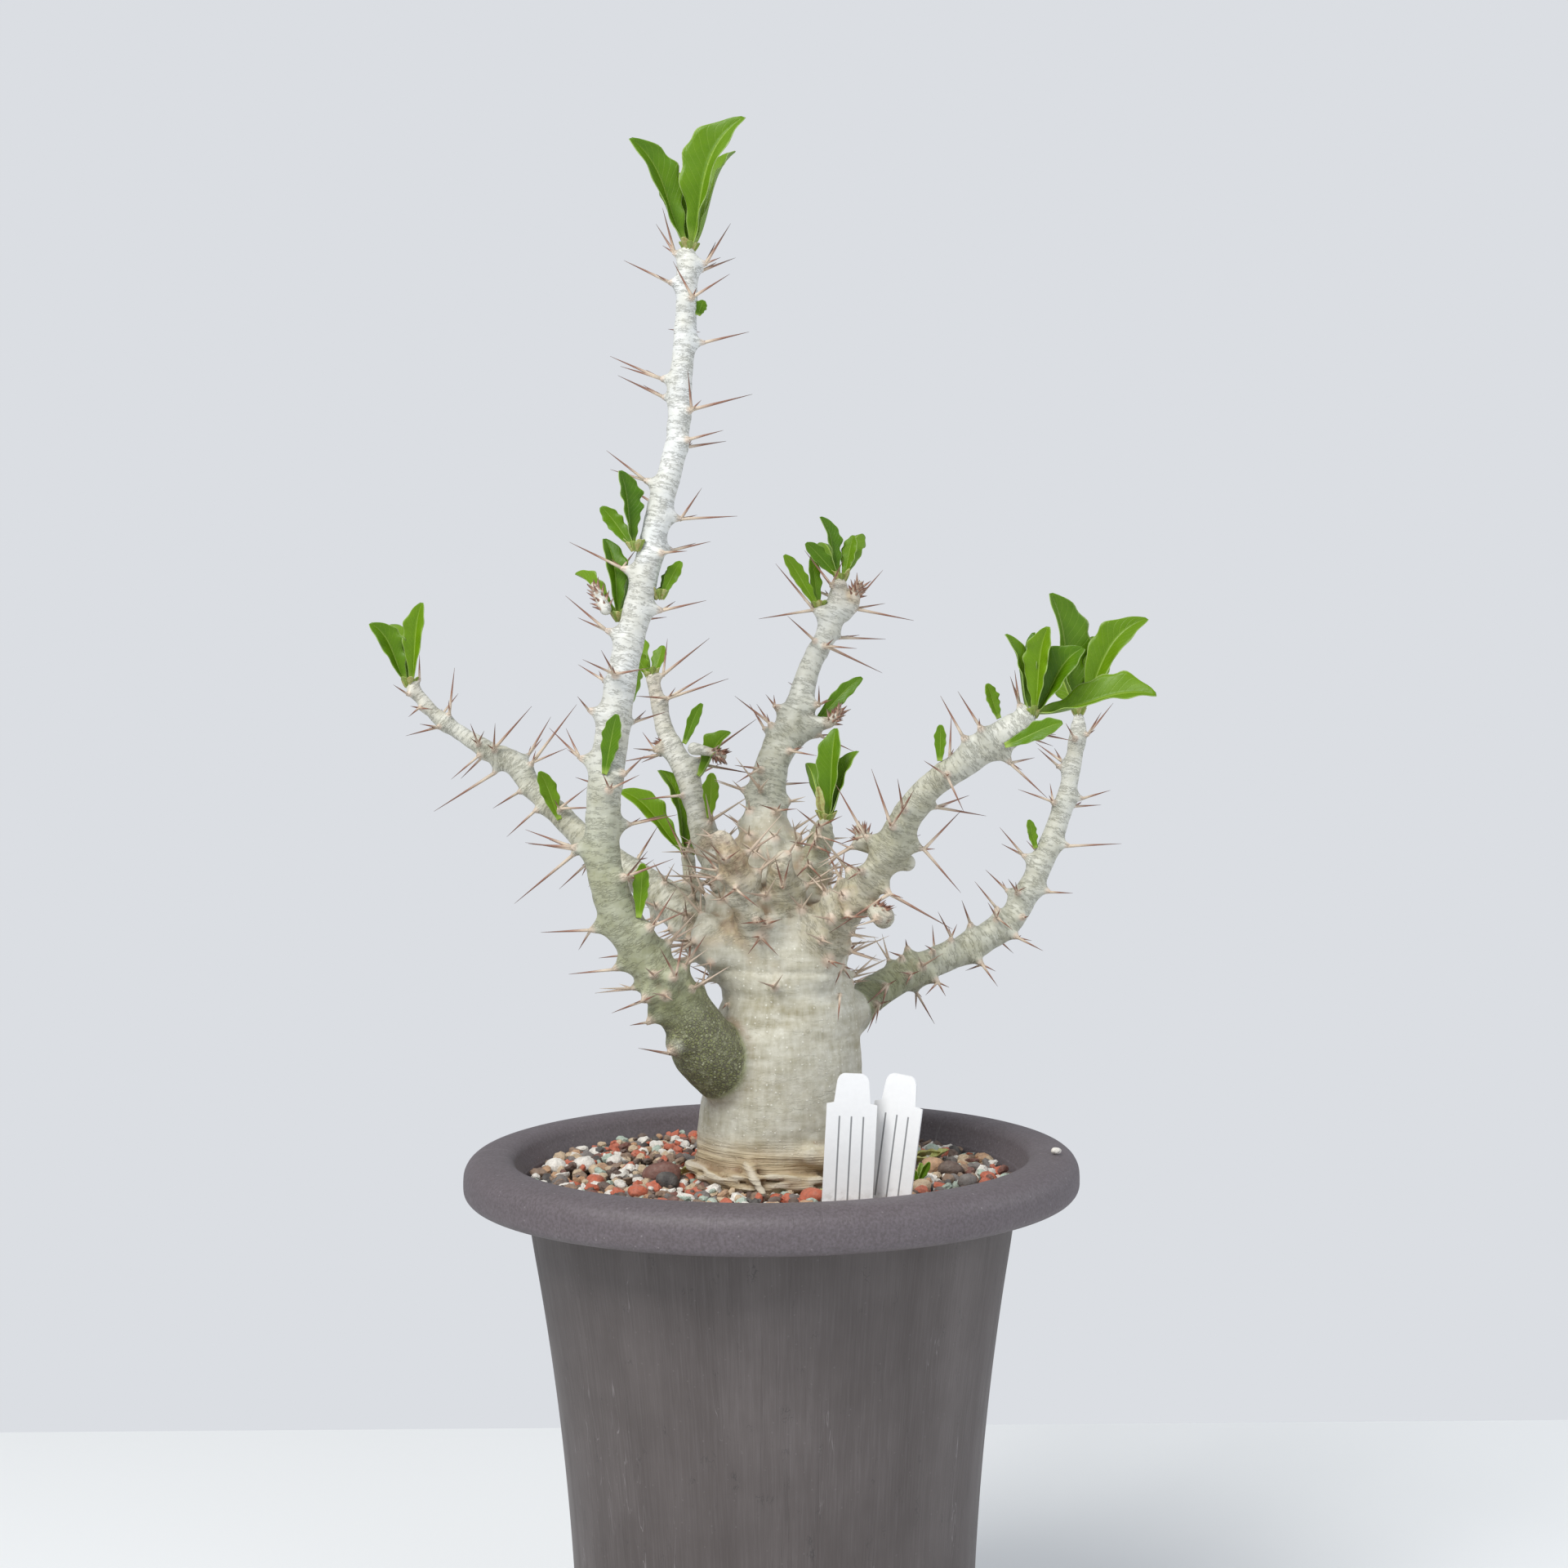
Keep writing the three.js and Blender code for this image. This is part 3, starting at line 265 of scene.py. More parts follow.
# Leaves: the line they grow on, at its tip or at a height and turn, and their blades. A blade is
# its tip (x, depth from its base, z), width, roll in degrees, bend and waves.
LEAVES = {
    "leaves_tall_tip": ("stem_tall", None, 0, (
        ((-46, -6, 574), 12, -12, 3, 3), ((-6.5, -8, 581), 17, 10, -4, 3),
        ((-10, 12, 569), 13, -35, 4, 3), ((-27, 4, 563), 6, 40, 2, 2),
        ((-37, 22, 562), 12, 150, 4, 3),
    )),
    "leaves_tall_left": ("stem_tall", 427, 235, (
        ((-50.5, -4, 459.5), 9.5, 20, 2, 4), ((-57, 3, 447), 6, -30, 2, 3),
    )),
    "leaves_tall_spur": ("stem_tall", 404, 300, (
        ((-56, 4, 436), 8, -25, -2, 3), ((-49.5, 9, 424), 6, 35, 2, 2),
        ((-66, 10, 424), 7, 120, 2, 3),
    )),
    "leaves_tall_right": ("stem_tall", 413, 80, (
        ((-29.5, -1, 428), 5, 10, 1, 2), ((-33, 4, 425.5), 4, -30, 1, 2),
    )),
    "leaf_tall_front": ("stem_tall", 352, 180, (
        ((-52, -4, 375.5), 6.6, 15, 1.5, 3),
    )),
    "leaf_tall_low": ("stem_tall", 304, 130, (
        ((-43.5, -3, 324), 5.8, 5, 1.5, 3),
    )),
    "leaf_tall_thin": ("stem_tall", 505, 110, (
        ((-21, -1, 518), 4, 50, 0.8, 2),
    )),
    "leaf_tall_back": ("stem_tall", 371, 15, (
        ((-46, 20, 392), 9, 165, 3, 3),
    )),
    "leaves_back_left_tip": ("stem_back_left", None, 0, (
        ((-46, -3, 397), 6, 20, 2, 2), ((-36, 4, 399), 6, -30, 2, 2),
        ((-48, 14, 402), 8, 160, 3, 2),
    )),
    "leaf_back_left_thin": ("stem_back_left", 362, 100, (
        ((-22.8, -1, 379), 4.4, 20, 1, 2),
    )),
    "leaf_back_left_round": ("stem_back_left", 350, 120, (
        ((-13, -2, 369), 9.5, -25, 2, 2),
    )),
    "leaf_back_left_low": ("stem_back_left", 335, 140, (
        ((-19.5, -2, 355), 6.2, 12, 1.5, 2),
    )),
    "leaves_back_twig": ("back_twig", None, 0, (
        ((-51.5, 3, 349), 10, -8, 3, 3), ((-38, 5, 356), 12, 20, -2, 3),
        ((-22, 20, 350), 11, 170, 4, 3),
    )),
    "leaves_centre_left": ("stem_centre", 411, 270, (
        ((6, -2, 430), 5.5, -10, 1.5, 3), ((15.5, 4, 429.5), 5, 30, 1, 2),
    )),
    "leaves_centre_tip": ("stem_centre", None, 0, (
        ((13.5, -4, 434), 6, -15, 1.5, 2), ((18.5, -1, 443), 7, 15, 2, 3),
        ((30, 2, 436.5), 6, -25, 1, 3), ((33, 13, 437), 8, 160, 2, 3),
        ((18, 15, 434), 7, 200, 2, 3),
    )),
    "leaf_centre_side": ("stem_centre", 372, 90, (
        ((32.5, 0, 387.5), 5.5, 30, -1.5, 3),
    )),
    "leaves_crown_right": ("crown_right", None, 0, (
        ((23.5, 5, 370), 10, 12, 2, 3), ((31, 8, 362), 8.5, -30, 2, 3),
        ((13, 14, 358), 7, 150, 2, 2),
    )),
    "leaves_right_front_tip": ("stem_right_front", None, 0, (
        ((82, -2, 402), 7, 25, 1.5, 3), ((92, 4, 402.5), 7.5, -35, 1.5, 3),
        ((97, -6, 404.5), 9.5, 10, 1.5, 4), ((109, -3, 397), 13, 8, 3, 3),
        ((134, -6, 380.5), 14, -30, 6, 3), ((99, 20, 394), 11, 165, 3, 3),
    )),
    "leaf_right_front_under": ("stem_right_front", 365, 150, (
        ((101.5, -6, 371.5), 6.5, -10, 2, 2),
    )),
    "leaf_right_front_small": ("stem_right_front", 366, 290, (
        ((75.5, -2, 385), 4.8, 15, 1, 3),
    )),
    "leaf_right_front_bud": ("stem_right_front", 353, 260, (
        ((59.5, -1, 371), 4, 0, 0.8, 2),
    )),
    "leaves_right_low_tip": ("stem_right_low", None, 0, (
        ((97.5, -4, 416), 18.5, 12, 4, 3), ((112.5, 2, 401), 8, -30, 2, 3),
        ((131, -5, 407), 14, 15, -4, 3), ((118, 19, 398), 12, 165, 4, 3),
        ((92, 15, 396), 11, 195, 4, 3),
    )),
    "leaf_right_low_bud": ("stem_right_low", 323, 250, (
        ((89.5, -1, 338), 4, 15, 0.8, 2),
    )),
    "leaves_left_back_tip": ("stem_left_back", None, 0, (
        ((-137, -2, 407.5), 10.5, -12, 2.5, 3), ((-119, 0, 414.5), 9, 55, 1.5, 3),
        ((-130, 16, 407), 9, 165, 3, 3),
    )),
    "leaf_left_back_side": ("stem_left_back", 337, 190, (
        ((-79, -4, 356), 6.6, -20, 1.5, 2),
    )),
}

# Scraps on the gravel and a dried leaf: foot, tip, width and how dry
LITTER = (
    ((18.5, -3, 337), (17, -4.5, 350), 3.2, 1.0),
    ((-33, 1, 217), (-26, -5, 219.5), 4.5, 0.9), ((-31, -4, 217.5), (-37, -9, 219), 3.5, 1.0),
    ((50, 28, 217), (60, 25, 219), 5.5, 0.95), ((56, 22, 217), (63, 27, 219.5), 4.5, 0.85),
    ((48, 20, 217), (55, 15, 218.5), 4.0, 1.0), ((42, 12, 217), (48, 5, 218.5), 3.0, 0.9),
    ((50, -10, 215.5), (53.5, -12, 222.5), 2.6, 0.0), ((50, -10, 215.5), (46.8, -11, 221), 2.4, 0.0),
    ((50, -10, 215.5), (51, -8, 221.5), 2.2, 0.2), ((14, -34, 217), (22, -37, 218.5), 3.0, 0.95),
)

# Writing tags: foot centre, lean and turn in degrees, shoulder and top height, buried depth
TAGS = {
    "tag_left": ((24, -57.5, 216), 3.4, 2, 33.6, 43.4, 30),
    "tag_right": ((36.6, -52, 216), 8.2, -22, 33, 42.8, 30),
}


# Plain sums used all over


def unit_hash(index: float, seed: float) -> float:
    """Gives a repeatable share from 0 to 1."""
    value = abs(math.sin(index * 12.9898 + seed * 78.233) * 43758.5453)
    return value - math.floor(value)


def normalised(vector: np.ndarray) -> np.ndarray:
    """Returns the vector at length one."""
    return vector / max(float(np.linalg.norm(vector)), 1e-12)


def at_depth(drawn: Numbers) -> np.ndarray:
    """Moves a place drawn on the axis plane to its real depth."""
    ratio = (drawn[1] - VIEW_POINT[1]) / -VIEW_POINT[1]
    return VIEW_POINT + (np.array([drawn[0], 0.0, drawn[2]]) - VIEW_POINT) * ratio


def as_drawn(places: np.ndarray) -> np.ndarray:
    """Gives the x and z at which places show on the axis plane."""
    ratio = -VIEW_POINT[1] / (places[:, 1] - VIEW_POINT[1])
    return (VIEW_POINT + (places - VIEW_POINT) * ratio[:, None])[:, [0, 2]]


def turned(vector: np.ndarray, axis: np.ndarray, angle: float) -> np.ndarray:
    """Turns a vector about an axis of length one by an angle in radians."""
    along = axis * float(axis @ vector)
    return along + (vector - along) * math.cos(angle) + np.cross(axis, vector) * math.sin(angle)


def smooth_step(values: np.ndarray, low: float, high: float) -> np.ndarray:
    """Returns 0 below low, 1 above high and a smooth rise between them."""
    share = np.clip((values - low) / (high - low), 0.0, 1.0)
    return share * share * (3.0 - 2.0 * share)


def hill(values: np.ndarray, marks: Numbers) -> np.ndarray:
    """Returns a smooth rise to 1 between the first two marks and a fall between the last two."""
    return smooth_step(values, *marks[:2]) * (1.0 - smooth_step(values, *marks[2:]))


def soft_noise(places: np.ndarray, size: float, seed: int) -> np.ndarray:
    """Smooth noise from -1 to 1 at each place.

    Args:
        places: Rows of places.
        size: Distance between the noise's own points.
        seed: Number of the noise.

    Returns:
        One value for each place.
    """
    scaled = places / size + seed * 17.31
    cell = np.floor(scaled).astype(np.int64)
    share = scaled - cell
    share = share * share * (3.0 - 2.0 * share)
    total = np.zeros(len(places))
    for corner in range(8):
        shift = np.array([corner & 1, (corner >> 1) & 1, corner >> 2])
        node = cell + shift
        mixed = node[:, 0] * 374761393 + node[:, 1] * 668265263 + node[:, 2] * 2147483647 + seed * 144665
        mixed = (mixed ^ (mixed >> 13)) * 1274126177
        value = ((mixed ^ (mixed >> 16)) & 0xFFFF) / 32767.5 - 1.0
        weight = np.prod(np.where(shift == 1, share, 1.0 - share), axis=1)
        total += value * weight
    return total


def colour(red: int, green: int, blue: int) -> Colour:
    """Turns a colour as seen on a screen, 0 to 255, into linear light.

    Args:
        red: Red.
        green: Green.
        blue: Blue.

    Returns:
        The linear colour.
    """
    def linear(value: int) -> float:
        """Returns one part of the colour in linear light."""
        share = value / 255.0
        return share / 12.92 if share <= 0.04045 else ((share + 0.055) / 1.055) ** 2.4
    return linear(red), linear(green), linear(blue)


class Frame(NamedTuple):
    """Place, direction, radius and two cross directions on a centre line."""

    place: np.ndarray
    along: np.ndarray
    radius: float
    back: np.ndarray
    side: np.ndarray


class CentreLine:
    """A smooth line through drawn points, measured along its length."""

    STEPS = 400

    def __init__(self, points: Sequence[Numbers]) -> None:
        """Lays the line through its points.

        Args:
            points: Rows of x, depth, z and radius.
        """
        self.knots = np.array([at_depth(point) for point in points])
        self.radii = np.array([point[3] for point in points], float)
        self.shares = np.linspace(0.0, 1.0, self.STEPS + 1)
        table = np.array([self._point(share) for share in self.shares])
        steps = np.linalg.norm(np.diff(table, axis=0), axis=1)
        self.lengths = np.concatenate([[0.0], np.cumsum(steps)])
        self.length = float(self.lengths[-1])

    def _point(self, step: float) -> np.ndarray:
        """Gives the centripetal spline's place.

        Args:
            step: Share of the way through the knots, not through the length.

        Returns:
            The place.
        """
        last = len(self.knots) - 1
        low = min(int(step * last), last - 1)
        share = step * last - low
        p1, p2 = self.knots[low], self.knots[low + 1]
        p0 = self.knots[low - 1] if low > 0 else 2 * p1 - p2
        p3 = self.knots[low + 2] if low + 2 <= last else 2 * p2 - p1
        gaps = [max(float(np.sum((b - a) ** 2)) ** 0.25, 1e-4) for a, b in ((p0, p1), (p1, p2), (p2, p3))]
        d0, d1, d2 = gaps
        m1 = ((p1 - p0) / d0 - (p2 - p0) / (d0 + d1) + (p2 - p1) / d1) * d1
        m2 = ((p2 - p1) / d1 - (p3 - p1) / (d1 + d2) + (p3 - p2) / d2) * d1
        c2 = -3 * p1 + 3 * p2 - 2 * m1 - m2
        c3 = 2 * p1 - 2 * p2 + m1 + m2
        return p1 + share * (m1 + share * (c2 + share * c3))

    def frame(self, share: float) -> Frame:
        """Gives what is known of the line at a share of its length.

        Args:
            share: Share of the length, from the base.

        Returns:
            Place, directions and radius there.
        """
        length = min(max(share, 0.0), 1.0) * self.length
        step = float(np.interp(length, self.lengths, self.shares))
        where = step * (len(self.radii) - 1)
        radius = float(np.interp(where, np.arange(len(self.radii)), self.radii))
        ahead = self._point(min(step + 1e-4, 1.0))
        along = normalised(ahead - self._point(max(step - 1e-4, 0.0)))
        back = normalised(np.array([0.0, 1.0, 0.0]) - along * along[1])
        return Frame(self._point(step), along, radius, back, np.cross(back, along))

    def samples(self, spacing: float) -> list[Frame]:
        """Returns frames from base to tip, a spacing apart."""
        count = max(int(self.length / spacing), 2)
        return [self.frame(index / count) for index in range(count + 1)]

    def rod(self, step: float) -> tuple[np.ndarray, np.ndarray]:
        """Returns the places and the radii of frames a step apart."""
        frames = self.samples(step)
        return np.array([frame.place for frame in frames]), np.array([frame.radius for frame in frames])

    def share_at_height(self, height: float) -> float:
        """Returns the share of the length at which the line first reaches a height.

        Args:
            height: The height in millimetres.

        Returns:
            The share, 1 if the line stays lower.
        """
        share = 0.0
        while share < 1.0 and self.frame(share).place[2] < height:
            share += 0.004
        return min(share, 1.0)


# Pieces and node trees


def placed(name: str, data: Any) -> Object:
    """Makes an object of the scene.

    Args:
        name: The object's name.
        data: Its mesh, light or camera.

    Returns:
        The object.
    """
    made = bpy.data.objects.new(name, data)
    bpy.context.scene.collection.objects.link(made)
    return made


def make_piece(name: str, points: np.ndarray, faces: Sequence, smooth: bool = True) -> Object:
    """Makes a mesh object from millimetre points.

    Args:
        name: The piece's name.
        points: Rows of places in millimetres.
        faces: The corners of each face, as numbers of points.
        smooth: Whether the faces are shaded as one curved surface.

    Returns:
        The object, linked to the scene.
    """
    mesh = bpy.data.meshes.new(name)
    mesh.from_pydata((np.asarray(points, float) * MM).tolist(), [], faces)
    mesh.validate()
    if smooth:
        mesh.shade_smooth()
    return placed(name, mesh)


def baked(source: Object, name: str) -> Object:
    """Makes a plain mesh of an object and its modifiers.

    Args:
        source: The object; it is removed.
        name: The piece's name.

    Returns:
        The plain piece.
    """
    evaluated = source.evaluated_get(bpy.context.evaluated_depsgraph_get())
    mesh = bpy.data.meshes.new_from_object(evaluated)
    mesh.name = name
    bpy.data.objects.remove(source)
    return placed(name, mesh)


def store(piece: Object, name: str, values: np.ndarray) -> None:
    """Keeps a number or a vector for each point of a piece's mesh.

    Args:
        piece: The piece.
        name: The attribute's name.
        values: One number or one row of three for each point.
    """
    kind, key = ("FLOAT", "value") if values.ndim == 1 else ("FLOAT_VECTOR", "vector")
    made = piece.data.attributes.new(name, kind, "POINT")
    made.data.foreach_set(key, values.astype(np.float32).ravel())


def points_of(piece: Object) -> np.ndarray:
    """Returns a piece's points in millimetres.

    Args:
        piece: The piece.

    Returns:
        A row for each point.
    """
    flat = np.zeros(len(piece.data.vertices) * 3, np.float32)
    piece.data.vertices.foreach_get("co", flat)
    return flat.reshape(-1, 3).astype(float) / MM


def normals_of(piece: Object) -> np.ndarray:
    """Returns the outward direction at each point of a piece.

    Args:
        piece: The piece.

    Returns:
        A row for each point, of length 1.
    """
    flat = np.zeros(len(piece.data.vertices) * 3, np.float32)
    piece.data.vertex_normals.foreach_get("vector", flat)
    return flat.reshape(-1, 3).astype(float)


def outward(piece: Object) -> None:
    """Turns every face of a closed piece outward.

    Args:
        piece: The piece.
    """
    shape = bmesh.new()
    shape.from_mesh(piece.data)
    bmesh.ops.recalc_face_normals(shape, faces=shape.faces)
    shape.to_mesh(piece.data)
    shape.free()


def ring_faces(bands: int, sides: int) -> list[tuple[int, ...]]:
    """Joins rows of points that each run once round.

    Args:
        bands: How many bands lie between the rows.
        sides: Points in a row.

    Returns:
        The corners of each face.
    """
    faces = []
    for band in range(bands):
        for side in range(sides):
            a, b = band * sides + side, band * sides + (side + 1) % sides
            faces.append((a, a + sides, b + sides, b))
    return faces


def sheet_faces(rows: int, columns: int) -> list[tuple[int, ...]]:
    """Joins two like sheets of points to a closed thin body.

    Args:
        rows: Rows of points in a sheet.
        columns: Faces across a sheet.

    Returns:
        The corners of each face.
    """
    wide = columns + 1
    count = rows * wide
    faces = []
    for row in range(rows - 1):
        for column in range(columns):
            a, b = row * wide + column, row * wide + column + 1
            faces.append((a, b, b + wide, a + wide))
            faces.append((count + a, count + a + wide, count + b + wide, count + b))
        a, b = row * wide, row * wide + columns
        faces.append((a, a + wide, count + a + wide, count + a))
        faces.append((b + wide, b, count + b, count + b + wide))
    for column in range(columns):
        a, b = column, (rows - 1) * wide + column
        faces.append((a + 1, a, count + a, count + a + 1))
        faces.append((b, b + 1, count + b + 1, count + b))
    return faces


def ball() -> tuple[np.ndarray, list[tuple[int, ...]]]:
    """Makes a ball of radius 1.

    Returns:
        Its points and its faces.
    """
    shape = bmesh.new()
    bmesh.ops.create_icosphere(shape, subdivisions=3, radius=1.0)
    places = np.array([vertex.co[:] for vertex in shape.verts])
    faces = [tuple(vertex.index for vertex in face.verts) for face in shape.faces]
    shape.free()
    return places, faces


def spun(first: float, second: float, angle: float) -> tuple[float, float]:
    """Returns two coordinates turned about the third axis."""
    cosine, sine = math.cos(angle), math.sin(angle)
    return first * cosine - second * sine, first * sine + second * cosine


def settle(piece: Object, replaced: Sequence[str] = (),
           material: Material | None = None) -> Object:
    """Gives a finished piece its body and the nodes that it stands for.

    Args:
        piece: The piece.
        replaced: Names of the nodes.
        material: Its material, where no tree has set one.

    Returns:
        The same piece.
    """
    if material is not None:
        piece.data.materials.clear()
        piece.data.materials.append(material)
    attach(piece, "root")
    if replaced:
        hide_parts(*replaced)
    mesh = piece.data
    count = sum(len(polygon.vertices) - 2 for polygon in mesh.polygons)
    LOG.info("%s: %d triangles, stands for %d nodes", piece.name, count, len(replaced))
    return piece


class Value:
    """An output socket of a tree; a sum on it adds the node that works the sum out."""

    def __init__(self, graph: "Graph", socket: NodeSocket) -> None:
        """Keeps the socket and the helper that adds nodes to its tree."""
        self.graph, self.socket = graph, socket

    def __add__(self, other: Any) -> "Value":
        """Returns the sum."""
        return self.graph.math("ADD", self, other)

    def __sub__(self, other: Any) -> "Value":
        """Returns the difference."""
        return self.graph.math("SUBTRACT", self, other)

    def __rsub__(self, other: float) -> "Value":
        """Returns a number less this value."""
        return self.graph.math("SUBTRACT", other, self)

    def __mul__(self, other: Any) -> "Value":
        """Returns the product; a row of three scales the axes of a vector."""
        return self.graph.math("MULTIPLY", self, other)

    def __truediv__(self, other: Any) -> "Value":
        """Returns the quotient."""
        return self.graph.math("DIVIDE", self, other)


class Graph:
    """Adds nodes to a tree, with their inputs and links, in single calls."""

    def __init__(self, tree: NodeTree, effects: "Effects | None" = None) -> None:
        """Keeps the tree that nodes are added to, and the shared groups that it may place."""
        self.tree, self.effects = tree, effects

    def connect(self, socket: NodeSocket, value: Any) -> None:
        """Links a value of the tree to an input, or sets the input.

        Args:
            socket: The input.
            value: A value of the tree, a number, a row or a colour; None leaves the input as it is.
        """
        if isinstance(value, Value):
            self.tree.links.new(value.socket, socket)
        elif socket.type == "RGBA":
            socket.default_value = (*value, 1.0)
        elif value is not None:
            socket.default_value = value

    def add(self, kind: str, inputs: dict | None = None, **settings: Any) -> Node:
        """Adds one node.

        Args:
            kind: The node's type.
            inputs: What each input gets, by its name or number.
            settings: Properties of the node itself.

        Returns:
            The node.
        """
        node = self.tree.nodes.new(kind)
        for name, value in settings.items():
            setattr(node, name, value)
        for key, value in (inputs or {}).items():
            self.connect(node.inputs[key], value)
        return node

    def out(self, kind: str, inputs: dict | None = None, output: int | str = 0, **settings: Any) -> Value:
        """Returns one output of a new node."""
        return Value(self, self.add(kind, inputs, **settings).outputs[output])

    def math(self, operation: str, first: Any, second: Any = 0.0) -> Value:
        """Returns the result of a sum, taken axis by axis where the second value is a row of three."""
        kind = "ShaderNodeVectorMath" if isinstance(second, tuple) else "ShaderNodeMath"
        return self.out(kind, {0: first, 1: second}, operation=operation)

    def parts(self, vector: Value) -> list[Value]:
        """Returns the x, y and z of a vector."""
        return [Value(self, part) for part in self.add("ShaderNodeSeparateXYZ", {0: vector}).outputs]


class Shading(Graph):
    """Short ways to the shader nodes that the finishes share."""

    def attribute(self, name: str, output: str = "Fac") -> Value:
        """Returns a stored attribute of the piece."""
        return self.out("ShaderNodeAttribute", output=output, attribute_name=name)

    def attributes(self, *names: str) -> list[Value]:
        """Returns stored numbers of the piece, by name."""
        return [self.attribute(name) for name in names]

    def place(self) -> Value:
        """Returns the object's own coordinates in metres."""
        return self.out("ShaderNodeTexCoord", output="Object")

    def noise(self, vector: Value, scale: Any, detail: float = 3.0, rough: float = 0.55) -> Value:
        """Returns smooth noise from 0 to 1."""
        inputs = {"Vector": vector, "Scale": scale, "Detail": detail, "Roughness": rough}
        return self.out("ShaderNodeTexNoise", inputs)

    def clamped(self, value: Value) -> Value:
        """Returns a value held between 0 and 1."""
        return self.out("ShaderNodeClamp", {0: value})

    def band(self, value: Value, low: float, high: float, start: float = 0.0, end: float = 1.0) -> Value:
        """Returns a smooth rise from start to end as the value goes from low to high."""
        inputs = {"Value": value, "From Min": low, "From Max": high, "To Min": start, "To Max": end}
        return self.out("ShaderNodeMapRange", inputs, interpolation_type="SMOOTHSTEP")

    def mix(self, share: Value, first: Any, second: Any) -> Value:
        """Returns a mix of two colours."""
        inputs = {0: share, 6: first, 7: second}
        return self.out("ShaderNodeMix", inputs, 2, data_type="RGBA", clamp_factor=True)

    def ramp(self, value: Value, stops: Sequence[tuple[float, Colour]], mode: str = "LINEAR") -> Value:
        """Makes a colour ramp.

        Args:
            value: Place on the ramp, from 0 to 1.
            stops: The places of the colours.
            mode: How the ramp goes from one colour to the next.

        Returns:
            The colour at the value.
        """
        node = self.add("ShaderNodeValToRGB", {0: value})
        node.color_ramp.interpolation = mode
        elements = node.color_ramp.elements
        while len(elements) < len(stops):
            elements.new(1.0)
        for element, (position, shade) in zip(elements, stops):
            element.position = position
            element.color = (*shade, 1.0)
        return Value(self, node.outputs[0])

    def bump(self, height: Value, strength: float, distance: float) -> Value:
        """Returns a normal that follows a height, in metres of distance."""
        return self.out("ShaderNodeBump", {"Strength": strength, "Distance": distance, "Height": height})

    def layers(self, base: Any, *layers: tuple[Value, Any]) -> Value:
        """Lays colours over each other.

        Args:
            base: The lowest colour.
            layers: Share and colour of each layer, from below.

        Returns:
            The colour that shows.
        """
        for share, shade in layers:
            base = self.mix(share, base, shade)
        return base

    def cracks(self, vector: Value, scale: float, width: float, breaks: float) -> Value:
        """Returns the shared fine lines."""
        inputs = {"Vector": vector, "Scale": scale, "Width": width, "Breaks": breaks}
        return self.out("ShaderNodeGroup", inputs, node_tree=self.effects.cracks)

    def specks(self, vector: Value, scale: float, size: float, share: float) -> Value:
        """Returns the shared specks."""
        inputs = {"Vector": vector, "Scale": scale, "Size": size, "Share": share}
        return self.out("ShaderNodeGroup", inputs, node_tree=self.effects.specks)

    def mottle(self, vector: Value, scale: float, contrast: float) -> Value:
        """Returns the shared clouds."""
        inputs = {"Vector": vector, "Scale": scale, "Contrast": contrast}
        return self.out("ShaderNodeGroup", inputs, node_tree=self.effects.mottle)

    def finish(self, base: Any, rough: Any, normal: Any = None, **constants: float) -> None:
        """Closes the material with its surface shader.

        Args:
            base: The base colour.
            rough: The roughness.
            normal: The bumped normal.
            constants: Plain values of further inputs, with _ for a space.
        """
        inputs = {name.replace("_", " "): value for name, value in constants.items()}
        inputs.update({"Base Color": base, "Roughness": rough, "Normal": normal})
        shader = self.out("ShaderNodeBsdfPrincipled", inputs)
        self.add("ShaderNodeOutputMaterial", {"Surface": shader})


def new_group(name: str, kind: str, **inputs: Any) -> tuple[Shading, list[Value], NodeSocket]:
    """Starts a node group with named sockets.

    Args:
        name: The group's name.
        kind: What the group gives: Float in a shader tree, Geometry in a geometry tree.
        inputs: The default of each input, or its kind where it has none, with _ for a space.

    Returns:
        The helper that fills the tree, the values of its inputs and the socket of its result.
    """
    tree = bpy.data.node_groups.new(name, "ShaderNodeTree" if kind == "Float" else "GeometryNodeTree")
    for key, given in inputs.items():
        sort = given if isinstance(given, str) else type(given).__name__.capitalize()
        title = key.replace("_", " ").capitalize()
        made = tree.interface.new_socket(name=title, in_out="INPUT", socket_type=f"NodeSocket{sort}")
        if sort != given:
            made.default_value = given
    tree.interface.new_socket(name="Result", in_out="OUTPUT", socket_type=f"NodeSocket{kind}")
    start, end = tree.nodes.new("NodeGroupInput"), tree.nodes.new("NodeGroupOutput")
    make = Shading(tree)
    return make, [Value(make, start.outputs[index]) for index in range(len(inputs))], end.inputs[0]


